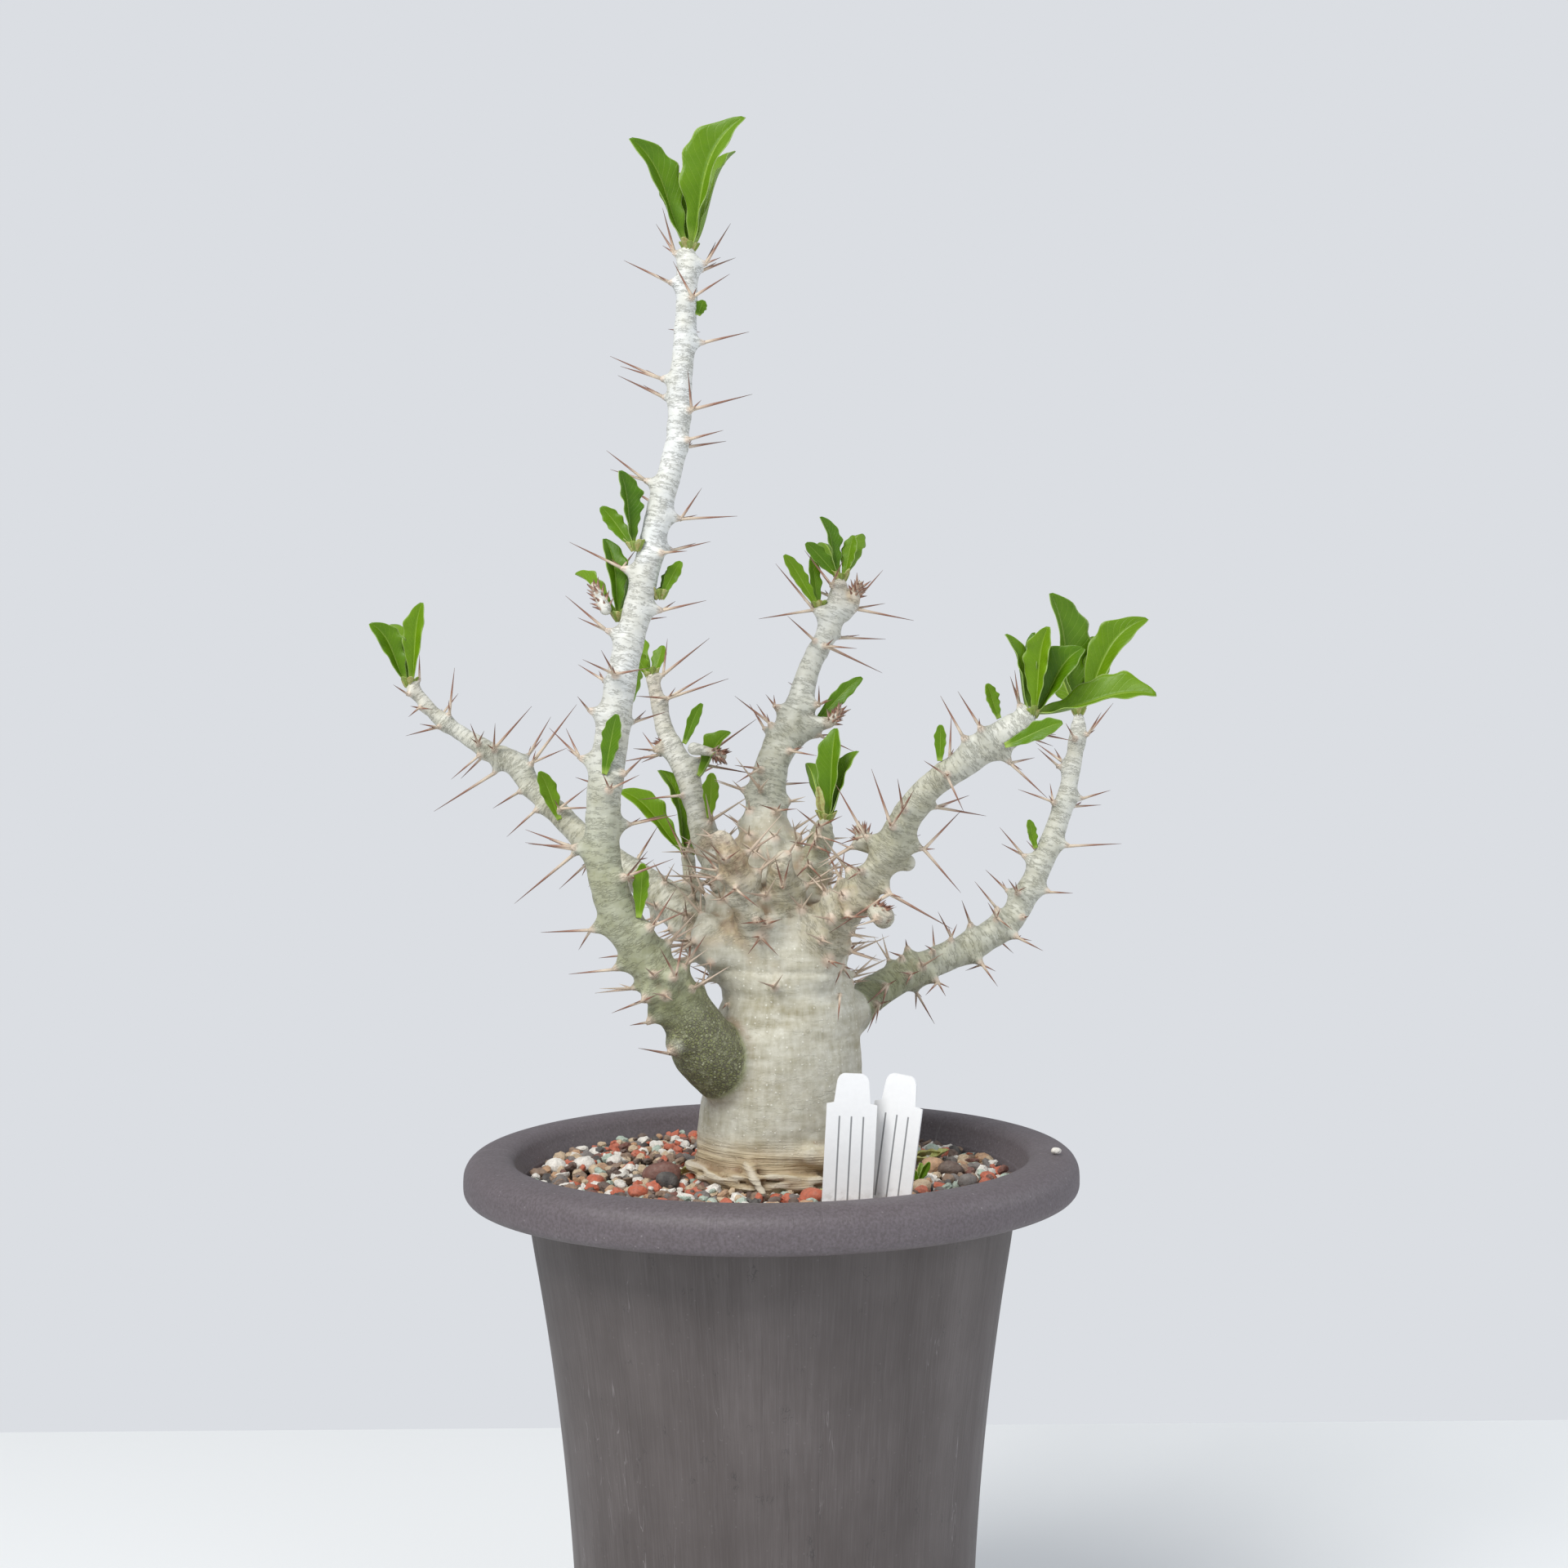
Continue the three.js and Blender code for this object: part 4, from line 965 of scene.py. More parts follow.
class Effects:
    """Shader groups that several finishes place with their own values."""

    def __init__(self) -> None:
        """Builds the groups once."""
        self.cracks = self._cracks()
        self.specks = self._specks()
        self.mottle = self._mottle()

    @staticmethod
    def _cracks() -> NodeTree:
        """Makes fine broken lines where a stretched noise crosses its middle.

        Returns:
            The group, which gives 1 in a line.
        """
        make, (vector, scale, width, breaks), end = new_group(
            "cracks", "Float", vector="Vector", scale=1000.0, width=0.06, breaks=0.5)
        away = make.math("ABSOLUTE", make.noise(vector, scale, 2.0, 0.5) - 0.5)
        line = 1.0 - make.math("MINIMUM", away / width, 1.0)
        gaps = make.noise(vector, scale * 0.4, 1.0, 0.5)
        make.connect(end, line * make.clamped((gaps - breaks) * 9.0))
        return make.tree

    @staticmethod
    def _specks() -> NodeTree:
        """Makes small round specks in random cells.

        Returns:
            The group, which gives 1 in a speck.
        """
        make, (vector, scale, size, share), end = new_group(
            "specks", "Float", vector="Vector", scale=400.0, size=0.2, share=0.5)
        cells = make.add("ShaderNodeTexVoronoi", {"Vector": vector, "Scale": scale})
        distance, tint = (Value(make, cells.outputs[name]) for name in ("Distance", "Color"))
        chosen = make.math("LESS_THAN", make.out("ShaderNodeSeparateColor", {0: tint}), share)
        make.connect(end, make.clamped((size - distance) / size * 2.5) * chosen)
        return make.tree

    @staticmethod
    def _mottle() -> NodeTree:
        """Makes soft clouds with a set contrast about the middle.

        Returns:
            The group, which gives 0 to 1.
        """
        make, (vector, scale, contrast), end = new_group(
            "mottle", "Float", vector="Vector", scale=50.0, contrast=2.0)
        cloud = make.noise(vector, scale, 3.0, 0.6)
        make.connect(end, make.clamped((cloud - 0.5) * contrast + 0.5))
        return make.tree


# Finishes


class Finish:
    """What all finishes share: the material's name, and a surface that each one paints."""

    name = "plain"

    def build(self, effects: Effects) -> Material:
        """Makes the material.

        Args:
            effects: The shared shader groups.

        Returns:
            The material.
        """
        material = bpy.data.materials.new(self.name)
        material.use_nodes = True
        material.node_tree.nodes.clear()
        self.paint(Shading(material.node_tree, effects))
        return material

    def paint(self, make: Shading) -> None:
        """Adds a plain surface."""
        make.finish((0.5, 0.5, 0.5), 0.5)


@dataclass(frozen=True)
class BarkFinish(Finish):
    """Silvery succulent bark with fine cross cracks, green skin low on two stems, tan pads and painted shade
    in its hollows.
    """

    name = "bark"
    pale: Colour = colour(228, 227, 216)
    silvery: Colour = colour(222, 225, 225)
    grey: Colour = colour(190, 189, 174)
    dark: Colour = colour(146, 138, 108)
    skin: Colour = colour(124, 130, 74)
    moss: Colour = colour(118, 128, 70)
    cork: Colour = colour(172, 176, 140)
    collar: Colour = colour(196, 178, 142)
    brown: Colour = colour(122, 84, 52)
    pad: Colour = colour(206, 182, 162)
    eye: Colour = colour(112, 72, 54)
    crack: Colour = colour(84, 82, 60)
    # painted shade: a dark brown laid in the skin's hollows, where shade falls
    dirt: Colour = colour(108, 88, 60)

    def paint(self, make: Shading) -> None:
        """Adds the nodes of the finish.

        Args:
            make: Adds nodes to the material.
        """
        place, stem = make.place(), make.attribute("straight", "Vector")
        silver, green, brown, pad = make.attributes("silver", "green", "brown", "pad")
        stemness, collar, hollow, crest = make.attributes("stemness", "collar", "hollow", "crest")
        clouds = make.mottle(place, scale=70.0, contrast=2.4)
        fine = make.mottle(place, scale=420.0, contrast=2.2)

        flat_place = place * (0.25, 0.25, 1.0)
        flat_stem = stem * (0.26, 0.26, 1.0)
        trunk_lines = make.cracks(flat_place, scale=900.0, width=0.035, breaks=0.5)
        stem_lines = make.cracks(flat_stem, scale=2000.0, width=0.11, breaks=0.44)
        lines = make.mix(stemness, trunk_lines * 0.32, stem_lines * 0.8)
        upright = place * (1.0, 1.0, 0.12)
        streaks = make.mottle(upright, scale=520.0, contrast=2.6)
        level = place * (0.22, 0.22, 1.0)
        bands = make.mottle(level, scale=330.0, contrast=3.6)
        spots = make.specks(place, scale=760.0, size=0.34, share=0.4)
        specks = spots * make.band(fine, 0.35, 0.65)
        net = make.out("ShaderNodeTexVoronoi", {"Vector": stem, "Scale": 980.0}, feature="DISTANCE_TO_EDGE")
        net_line = make.band(net, 0.05, 0.22, 1.0, 0.0) * make.band(green, 0.6, 0.95)
        rings = place * (0.05, 0.05, 1.0)
        ridges = make.mottle(rings, scale=620.0, contrast=3.4) * collar

        flakes = make.math("MAXIMUM", make.band(fine, 0.5, 0.9) * 0.5, spots)
        corky = make.mix(flakes, make.mix(net_line, self.skin, self.crack), self.cork)
        corky = make.mix(make.band(green, 0.62, 1.0), self.moss, corky)
        # painted shade in the skin's hollows, found from the mesh's shape, in a dark brown that varies with
        # the clouds
        painted_hollow_shade = hollow * make.band(clouds, 0.1, 0.9, 0.35, 0.85)
        base = make.layers(
            make.mix(clouds, self.grey, self.dark),
            (streaks * 0.42, self.pale),
            (bands * 0.46, self.pale),
            (silver, make.mix(make.band(clouds, 0.2, 1.0, 0.0, 0.55), self.silvery, self.grey)),
            (fine * 0.34 * (1.15 - silver), self.dark),
            (specks * make.band(stemness, 0.0, 1.0, 0.75, 0.15), self.pale),
            (collar * 0.85, make.mix(ridges * 0.5, self.collar, self.brown)),
            (green * 0.92, corky),
            (brown * 0.85, make.mix(fine, self.brown, self.collar)),
            # painted shade in the hollows
            (painted_hollow_shade, make.mix(fine, self.dirt, self.brown)),
            # paler where the skin stands out from what is round it
            (crest * 0.4, self.pale),
            (make.band(pad, 0.3, 0.9, 0.0, 0.7), self.pad),
            (make.band(pad, 0.93, 0.985, 0.0, 0.8), self.eye),
            (lines * 0.55, self.crack),
        )

        height = fine * 0.35 - lines * 0.55 + specks * 0.3 - ridges * 1.6 - net_line * green * 0.8
        normal = make.bump(height, 0.75, 0.0004)
        make.finish(base, clouds * 0.16 + 0.42, normal, Specular_IOR_Level=0.5)


@dataclass(frozen=True)
class SpineFinish(Finish):
    """Spines that run from a pink cream foot through red-brown to a grey tip."""

    name = "spine"
    foot: Colour = colour(206, 190, 170)
    middle: Colour = colour(144, 102, 84)
    tip: Colour = colour(90, 66, 58)

    def paint(self, make: Shading) -> None:
        """Adds the nodes of the finish.

        Args:
            make: Adds nodes to the material.
        """
        along, tone = make.attributes("along", "tone")
        shifted = (tone - 0.5) * 0.35 + along
        streak = make.noise(make.place() * (1.0, 1.0, 0.4), 2600.0)
        stops = ((0.0, self.foot), (0.1, self.foot), (0.38, self.middle), (1.0, self.tip))
        bleached = make.band(streak * 0.3 + tone, 0.55, 1.25, 0.0, 0.85)
        base = make.mix(bleached, make.ramp(shifted, stops), self.foot)
        make.finish(base, streak * 0.2 + 0.36, make.bump(streak, 0.3, 0.0001))


@dataclass(frozen=True)
class LeafFinish(Finish):
    """Waxy green blade with a pale midrib, side veins and a thin pale wavy margin."""

    name = "leaf"
    deep: Colour = colour(62, 104, 2)
    fresh: Colour = colour(112, 148, 10)
    under: Colour = colour(112, 146, 34)
    rib: Colour = colour(176, 200, 96)
    margin: Colour = colour(190, 208, 140)
    dry: Colour = colour(150, 116, 58)

    def paint(self, make: Shading) -> None:
        """Adds the nodes of the finish.

        Args:
            make: Adds nodes to the material.
        """
        across, length, _ = make.parts(make.out("ShaderNodeUVMap", uv_map="blade"))
        middle = make.math("ABSOLUTE", across - 0.5)
        tone, under, dry = make.attributes("tone", "under", "dry")
        clouds = make.mottle(make.place(), scale=160.0, contrast=1.8)
        fine = make.mottle(make.place(), scale=900.0, contrast=1.6)

        wave = make.math("SINE", (length - middle * 0.42) * 88.0)
        veins = make.band(wave, 0.82, 1.0)
        rib_width = 0.045 - length * 0.03
        rib = make.band(middle / rib_width, 0.5, 1.15, 1.0, 0.0)
        edge = make.band(middle, 0.468, 0.495)

        base = make.layers(
            make.mix(tone * 0.7 + clouds * 0.3, self.deep, self.fresh),
            (under * 0.55, self.under),
            (make.band(length, 0.0, 0.16, 0.6, 0.0), self.rib),
            (veins * 0.09, self.rib),
            (fine * 0.14, self.deep),
            (rib * (under * 0.4 + 0.3), self.rib),
            (edge * 0.42, self.margin),
            (dry, make.mix(fine, self.dry, self.margin)),
        )
        normal = make.bump(fine * 0.25 - veins * 0.4 + rib * 0.5, 0.45, 0.0003)
        make.finish(base, fine * 0.16 + 0.34, normal, Specular_IOR_Level=0.28)


@dataclass(frozen=True)
class StoneFinish(Finish):
    """Washed gravel of many kinds; each stone keeps one kind by its own number."""

    name = "gravel"
    kinds: tuple[tuple[float, Colour], ...] = (
        (0.0, colour(196, 92, 56)), (0.13, colour(206, 182, 150)), (0.25, colour(240, 236, 228)),
        (0.4, colour(140, 112, 90)), (0.52, colour(92, 70, 60)), (0.64, colour(178, 196, 182)),
        (0.73, colour(190, 148, 110)), (0.82, colour(112, 106, 104)), (0.89, colour(48, 46, 48)),
        (0.95, colour(112, 58, 44)),
    )
    dust: Colour = (0.75, 0.72, 0.66)
    grain: Colour = (0.1, 0.08, 0.07)
    pit: Colour = (0.09, 0.07, 0.06)

    def paint(self, make: Shading) -> None:
        """Adds the nodes of the finish.

        Args:
            make: Adds nodes to the material.
        """
        place = make.place()
        kind = make.ramp(make.attribute("kind"), self.kinds, "CONSTANT")
        grain = make.mottle(place, scale=900.0, contrast=2.6)
        clouds = make.mottle(place, scale=330.0, contrast=2.4)
        pits = make.specks(place, scale=2200.0, size=0.3, share=0.45)
        base = make.layers(
            make.mix(clouds * 0.16, kind, self.dust),
            (grain * 0.35, self.grain),
            (pits * 0.35, self.pit),
        )
        make.finish(base, grain * 0.2 + 0.62, make.bump(grain - pits * 0.7, 0.6, 0.0003))


@dataclass(frozen=True)
class SoilFinish(Finish):
    """Dark gritty potting mix under the stones."""

    name = "potting_mix"
    dark: Colour = colour(62, 50, 42)
    light: Colour = colour(132, 112, 92)
    grit: Colour = colour(190, 176, 158)

    def paint(self, make: Shading) -> None:
        """Adds the nodes of the finish.

        Args:
            make: Adds nodes to the material.
        """
        place = make.place()
        grain = make.mottle(place, scale=700.0, contrast=3.2)
        grit = make.specks(place, scale=900.0, size=0.32, share=0.35)
        base = make.mix(grit * 0.6, make.mix(grain, self.dark, self.light), self.grit)
        make.finish(base, 0.92, make.bump(grain + grit, 0.9, 0.0006))


@dataclass(frozen=True)
class PotFinish(Finish):
    """Matte taupe plastic with an upright brushed grain, soft streaks and pale scuffs."""

    name = "pot"
    body: Colour = colour(92, 85, 84)
    shade: Colour = colour(62, 55, 53)
    rim: Colour = colour(106, 98, 104)
    scuff: Colour = colour(150, 144, 146)
    nick: Colour = (0.03, 0.028, 0.028)

    def paint(self, make: Shading) -> None:
        """Adds the nodes of the finish.

        Args:
            make: Adds nodes to the material.
        """
        place, wrap = make.place(), make.attribute("wrap", "Vector")
        rim = make.attribute("rim")
        upright = wrap * (1.0, 1.0, 0.035)
        grain = make.noise(upright, 1.5, 6.0, 0.7)
        lines = make.cracks(upright, scale=0.9, width=0.05, breaks=0.56)
        slanted = make.out("ShaderNodeMapping",
                           {"Vector": wrap, "Rotation": (0.0, 0.45, 0.2), "Scale": (1, 1, 0.12)})
        streaks = make.mottle(slanted, scale=0.06, contrast=2.8)
        clouds = make.mottle(wrap, scale=0.035, contrast=3.0)
        nicked = wrap * (1.0, 1.0, 0.5)
        nicks = make.cracks(nicked, scale=0.55, width=0.03, breaks=0.62)
        scuffs = make.cracks(slanted, scale=0.35, width=0.012, breaks=0.6)
        dust = make.specks(place, scale=420.0, size=0.16, share=0.3)
        speckle = make.mottle(place, scale=1100.0, contrast=3.4)

        base = make.layers(
            make.mix(streaks * 0.42, self.body, self.shade),
            (make.band(grain, 0.4, 0.8) * 0.16, self.scuff),
            (lines * 0.4, self.shade),
            (clouds * 0.38, self.shade),
            (nicks * 0.6, self.nick),
            (rim * 0.85, make.mix(speckle * 0.5, self.rim, self.shade)),
            (scuffs * 0.5, self.scuff),
            (dust * (rim * 0.3 + 0.12), self.scuff),
        )
        height = grain * 0.8 - lines * 0.5 + speckle * rim * 0.35
        make.finish(base, streaks * 0.1 + 0.5, make.bump(height, 0.35, 0.0003))


@dataclass(frozen=True)
class TagFinish(Finish):
    """Satin white plastic with plain ruled grey lines and a little soil at the foot."""

    name = "tag"
    white: Colour = colour(244, 245, 246)
    ink: Colour = colour(92, 94, 98)
    rules: tuple[float, float, float] = (-3.8, 0.0, 3.8)
    soil: Colour = colour(150, 132, 112)

    def paint(self, make: Shading) -> None:
        """Adds the nodes of the finish.

        Args:
            make: Adds nodes to the material.
        """
        flat = make.parts(make.attribute("sheet", "Vector"))
        place = make.place()
        rules = [make.band(make.math("ABSOLUTE", flat[0] - across), 0.2, 0.32, 1.0, 0.0)
                 for across in self.rules]
        ink = make.math("MAXIMUM", make.math("MAXIMUM", rules[0], rules[1]), rules[2])
        ink = ink * make.band(flat[2], 2.9, 3.1) * make.band(flat[2], 29.8, 30.0, 1.0, 0.0)
        clouds = make.mottle(place, scale=500.0, contrast=2.0)
        splash = make.specks(place, scale=900.0, size=0.3, share=0.3)
        low = make.attribute("foot") * make.band(clouds, 0.3, 0.8)
        base = make.layers(
            make.mix(clouds * 0.05, self.white, self.ink),
            (ink * 0.8, self.ink),
            (low * 0.5, self.soil),
            (splash * low * 0.7, self.soil),
        )
        make.finish(base, 0.34, make.bump(clouds, 0.08, 0.0002))


@dataclass(frozen=True)
class FloorFinish(Finish):
    """Plain pale floor."""

    name = "floor"
    pale: Colour = colour(238, 240, 241)

    def paint(self, make: Shading) -> None:
        """Adds the plain surface."""
        make.finish(self.pale, 0.85)


# Geometry Nodes


class Repeats:
    """Geometry Nodes trees that place what repeats, and the step that makes them plain meshes."""

    stone_forms = ((1, 0.8, 0.62), (1, 0.9, 0.8), (1.1, 0.72, 0.6), (0.9, 0.86, 0.7), (1.15, 0.85, 0.5))

    def __init__(self) -> None:
        """Builds the trees once."""
        self.needles = self._needles()
        self.stones = self._stones()

    @staticmethod
    def _dress(make: Graph, instances: Value, material: Value, faceted: bool) -> Value:
        """Turns instances into real faces with their material.

        Args:
            make: The helper of the tree.
            instances: The instances.
            material: The material.
            faceted: Whether the faces are shaded flat.

        Returns:
            The dressed geometry.
        """
        real = make.out("GeometryNodeRealizeInstances", {0: instances})
        if faceted:
            real = make.out("GeometryNodeSetShadeSmooth", {0: real, "Shade Smooth": False})
        return make.out("GeometryNodeSetMaterial", {"Geometry": real, "Material": material})

    def _needles(self) -> NodeTree:
        """Puts a tapered needle on each point, along its stored aim and as long as its stored length.

        Returns:
            The tree.
        """
        make, (points, sides, foot, material), end = new_group(
            "needles", "Geometry", points="Geometry", sides=7, foot_radius=0.0006, material="Material")
        cone = make.out("GeometryNodeMeshCone", {
            "Vertices": sides, "Side Segments": 5, "Radius Top": 0.07, "Radius Bottom": 1.0, "Depth": 1.0})
        height = make.parts(make.out("GeometryNodeInputPosition"))[2]
        named = {"Geometry": cone, "Name": "along", "Value": height}
        marked = make.out("GeometryNodeStoreNamedAttribute", named, data_type="FLOAT", domain="POINT")
        kinds = {"aim": "FLOAT_VECTOR", "length": "FLOAT", "thick": "FLOAT"}
        aim, length, thick = (make.out("GeometryNodeInputNamedAttribute", {"Name": name}, data_type=kind)
                              for name, kind in kinds.items())
        turn = make.out("FunctionNodeAlignRotationToVector", {"Vector": aim}, axis="Z")
        wide = thick * foot
        scale = make.out("ShaderNodeCombineXYZ", {0: wide, 1: wide, 2: length})
        placed = {"Points": points, "Instance": marked, "Rotation": turn, "Scale": scale}
        instances = make.out("GeometryNodeInstanceOnPoints", placed)
        make.connect(end, self._dress(make, instances, material, False))
        return make.tree

    def _stones(self) -> NodeTree:
        """Spreads lumpy faceted stones over a surface, no two closer than a spacing.

        Returns:
            The tree.
        """
        make, (surface, spacing, smallest, largest, seed, material), end = new_group(
            "stones", "Geometry", surface="Geometry", spacing=0.0033, smallest=0.0014, largest=0.0026,
            seed=1, material="Material")
        shapes = make.add("GeometryNodeJoinGeometry")
        for index, form in enumerate(self.stone_forms):
            ball = make.out("GeometryNodeMeshIcoSphere", {"Radius": 1.0, "Subdivisions": 2})
            normal = make.out("GeometryNodeInputNormal")
            inputs = {"W": index * 7.3, "Scale": 0.9, "Detail": 2.0}
            rough = make.out("ShaderNodeTexNoise", inputs, noise_dimensions="4D")
            lift = rough * 1.7 - 0.85
            offset = make.out("ShaderNodeVectorMath", {0: normal, "Scale": lift}, operation="SCALE")
            lumpy = make.out("GeometryNodeSetPosition", {"Geometry": ball, "Offset": offset})
            sized = make.out("GeometryNodeTransform", {"Geometry": lumpy, "Scale": form})
            make.connect(shapes.inputs[0], make.out("GeometryNodeGeometryToInstance", {0: sized}))
        spread = {"Mesh": surface, "Distance Min": spacing, "Density Max": 400000.0, "Seed": seed}
        points = make.out("GeometryNodeDistributePointsOnFaces", spread, distribute_method="POISSON")
        inputs = {"Min": (0, 0, 0), "Max": (0.6, 0.6, 6.283), "Seed": seed}
        turn = make.out("FunctionNodeRandomValue", inputs, data_type="FLOAT_VECTOR")
        inputs = {2: smallest, 3: largest, "Seed": seed + 5.0}
        size = make.out("FunctionNodeRandomValue", inputs, 1, data_type="FLOAT")
        pick = make.out("FunctionNodeRandomValue", {4: 0, 5: 4, "Seed": seed}, 2, data_type="INT")
        placed = {"Points": points, "Instance": Value(make, shapes.outputs[0]), "Pick Instance": True,
                  "Instance Index": pick, "Rotation": turn, "Scale": size}
        instances = make.out("GeometryNodeInstanceOnPoints", placed)
        inputs = {2: 0.0, 3: 1.0, "Seed": seed + 11.0}
        kind = make.out("FunctionNodeRandomValue", inputs, 1, data_type="FLOAT")
        named = {"Geometry": instances, "Name": "kind", "Value": kind}
        marked = make.out("GeometryNodeStoreNamedAttribute", named, data_type="FLOAT", domain="INSTANCE")
        make.connect(end, self._dress(make, marked, material, True))
        return make.tree

    @staticmethod
    def grown(source: Object, tree: NodeTree, name: str, **values: Any) -> Object:
        """Runs a tree on a source object and keeps the result as a plain mesh.

        Args:
            source: Object that holds the points or the surface; it is removed.
            tree: The tree to run.
            name: Name of the new piece.
            values: Values of the tree's inputs, with _ for a space.

        Returns:
            The new piece.
        """
        modifier = source.modifiers.new("grow", "NODES")
        modifier.node_group = tree
        sockets = {item.name: item.identifier for item in tree.interface.items_tree if item.in_out == "INPUT"}
        for key, value in values.items():
            modifier[sockets[key.replace("_", " ").capitalize()]] = value
        source.update_tag()
        return baked(source, name)


# The planter


@dataclass
class Planter:
    """Round tapered pot with a heavy rolled rim and six drain holes."""

    effects: Effects
    base_radius: float = 66.0
    wall: float = 3.0
    floor: float = 5.0
    sides: int = 192
    drain_radius: float = 5.0
    drain_ring: float = 42.0
    drains: int = 6
    wrap_radius: float = 80.0

    def body_radius(self, height: float) -> float:
        """Returns the wall's outer radius at a height."""
        return self.base_radius + 1.0 + 17.2 * (max(height - 20.0, 0.0) / 188.0) ** 2.1

    def _profile(self) -> np.ndarray:
        """Returns the turned outline, from the underside's middle to the floor's middle.

        Returns:
            Rows of radius and height.
        """
        outer = [(self.body_radius(z), z) for z in range(14, 210, 14)]
        inner = [(self.body_radius(z) - self.wall, z) for z in (208, 180, 150, 120, 60, 14)]
        rim = [(84.3, 212), (84.9, 217.2), (87.5, 218.6), (97.5, 217.9), (99.7, 216.6), (100.1, 213.2),
               (101.2, 212), (103.4, 212.2), (105, 214.2), (105.1, 217.5), (104.9, 220.6), (103.6, 223.2),
               (101.4, 225), (98.3, 225.9), (93.5, 226.1), (90.2, 225.5), (88, 223.8), (87.1, 221)]
        foot = [(0, 0), (58, 0), (64.5, 0), (66.4, 2.2)]
        rows = np.array([*foot, *outer, *rim, *inner, (62.5, self.floor), (40, self.floor),
                         (0, self.floor)], float)
        for _ in range(2):
            low, high = rows[:-1], rows[1:]
            cut = np.stack([0.78 * low + 0.22 * high, 0.22 * low + 0.78 * high], 1).reshape(-1, 2)
            rows = np.vstack([rows[:1], cut[1:-1], rows[-1:]])
        return rows

    def _drained(self, pot: Object) -> Object:
        """Cuts the drain holes through the floor.

        Args:
            pot: The whole pot; it is removed.

        Returns:
            The pot with its holes.
        """
        shape = bmesh.new()
        for index in range(self.drains):
            turn = 2 * math.pi * index / self.drains
            place = Vector((math.cos(turn), math.sin(turn), 0)) * self.drain_ring * MM
            made = bmesh.ops.create_cone(shape, cap_ends=True, segments=32, radius1=self.drain_radius * MM,
                                         radius2=self.drain_radius * MM, depth=30 * MM)
            bmesh.ops.translate(shape, verts=made["verts"], vec=place)
        mesh = bpy.data.meshes.new("drains")
        shape.to_mesh(mesh)
        shape.free()
        cutter = placed("drains", mesh)
        cut = pot.modifiers.new("drain", "BOOLEAN")
        cut.operation, cut.object, cut.solver = "DIFFERENCE", cutter, "EXACT"
        made = baked(pot, "planter")
        bpy.data.objects.remove(cutter)
        return made

    def build(self) -> Object:
        """Makes and dresses the pot.

        Returns:
            The piece.
        """
        rows = self._profile()
        turns = np.linspace(0, 2 * math.pi, self.sides, endpoint=False)
        middle = rows[1:-1]
        rings = np.stack([np.outer(middle[:, 0], np.cos(turns)), np.outer(middle[:, 0], np.sin(turns)),
                          np.repeat(middle[:, 1:2], self.sides, 1)], 2).reshape(-1, 3)
        points = np.vstack([rings, [[0, 0, 0]], [[0, 0, self.floor]]])
        faces = [(a, b, c, d) for a, d, c, b in ring_faces(len(middle) - 1, self.sides)]
        last = (len(middle) - 1) * self.sides
        under, inside = len(points) - 2, len(points) - 1
        for side in range(self.sides):
            after = (side + 1) % self.sides
            faces.append((under, after, side))
            faces.append((inside, last + side, last + after))
        pot = self._drained(make_piece("planter_whole", points, faces))
        places = points_of(pot)
        turn = np.arctan2(places[:, 1], places[:, 0])
        wrap = np.stack([np.cos(turn), np.sin(turn), places[:, 2] / self.wrap_radius], 1) * self.wrap_radius
        store(pot, "wrap", wrap)
        store(pot, "rim", smooth_step(places[:, 2], 211.0, 214.0))
        pot.data.shade_smooth()
        return settle(pot, ["pot"], PotFinish().build(self.effects))


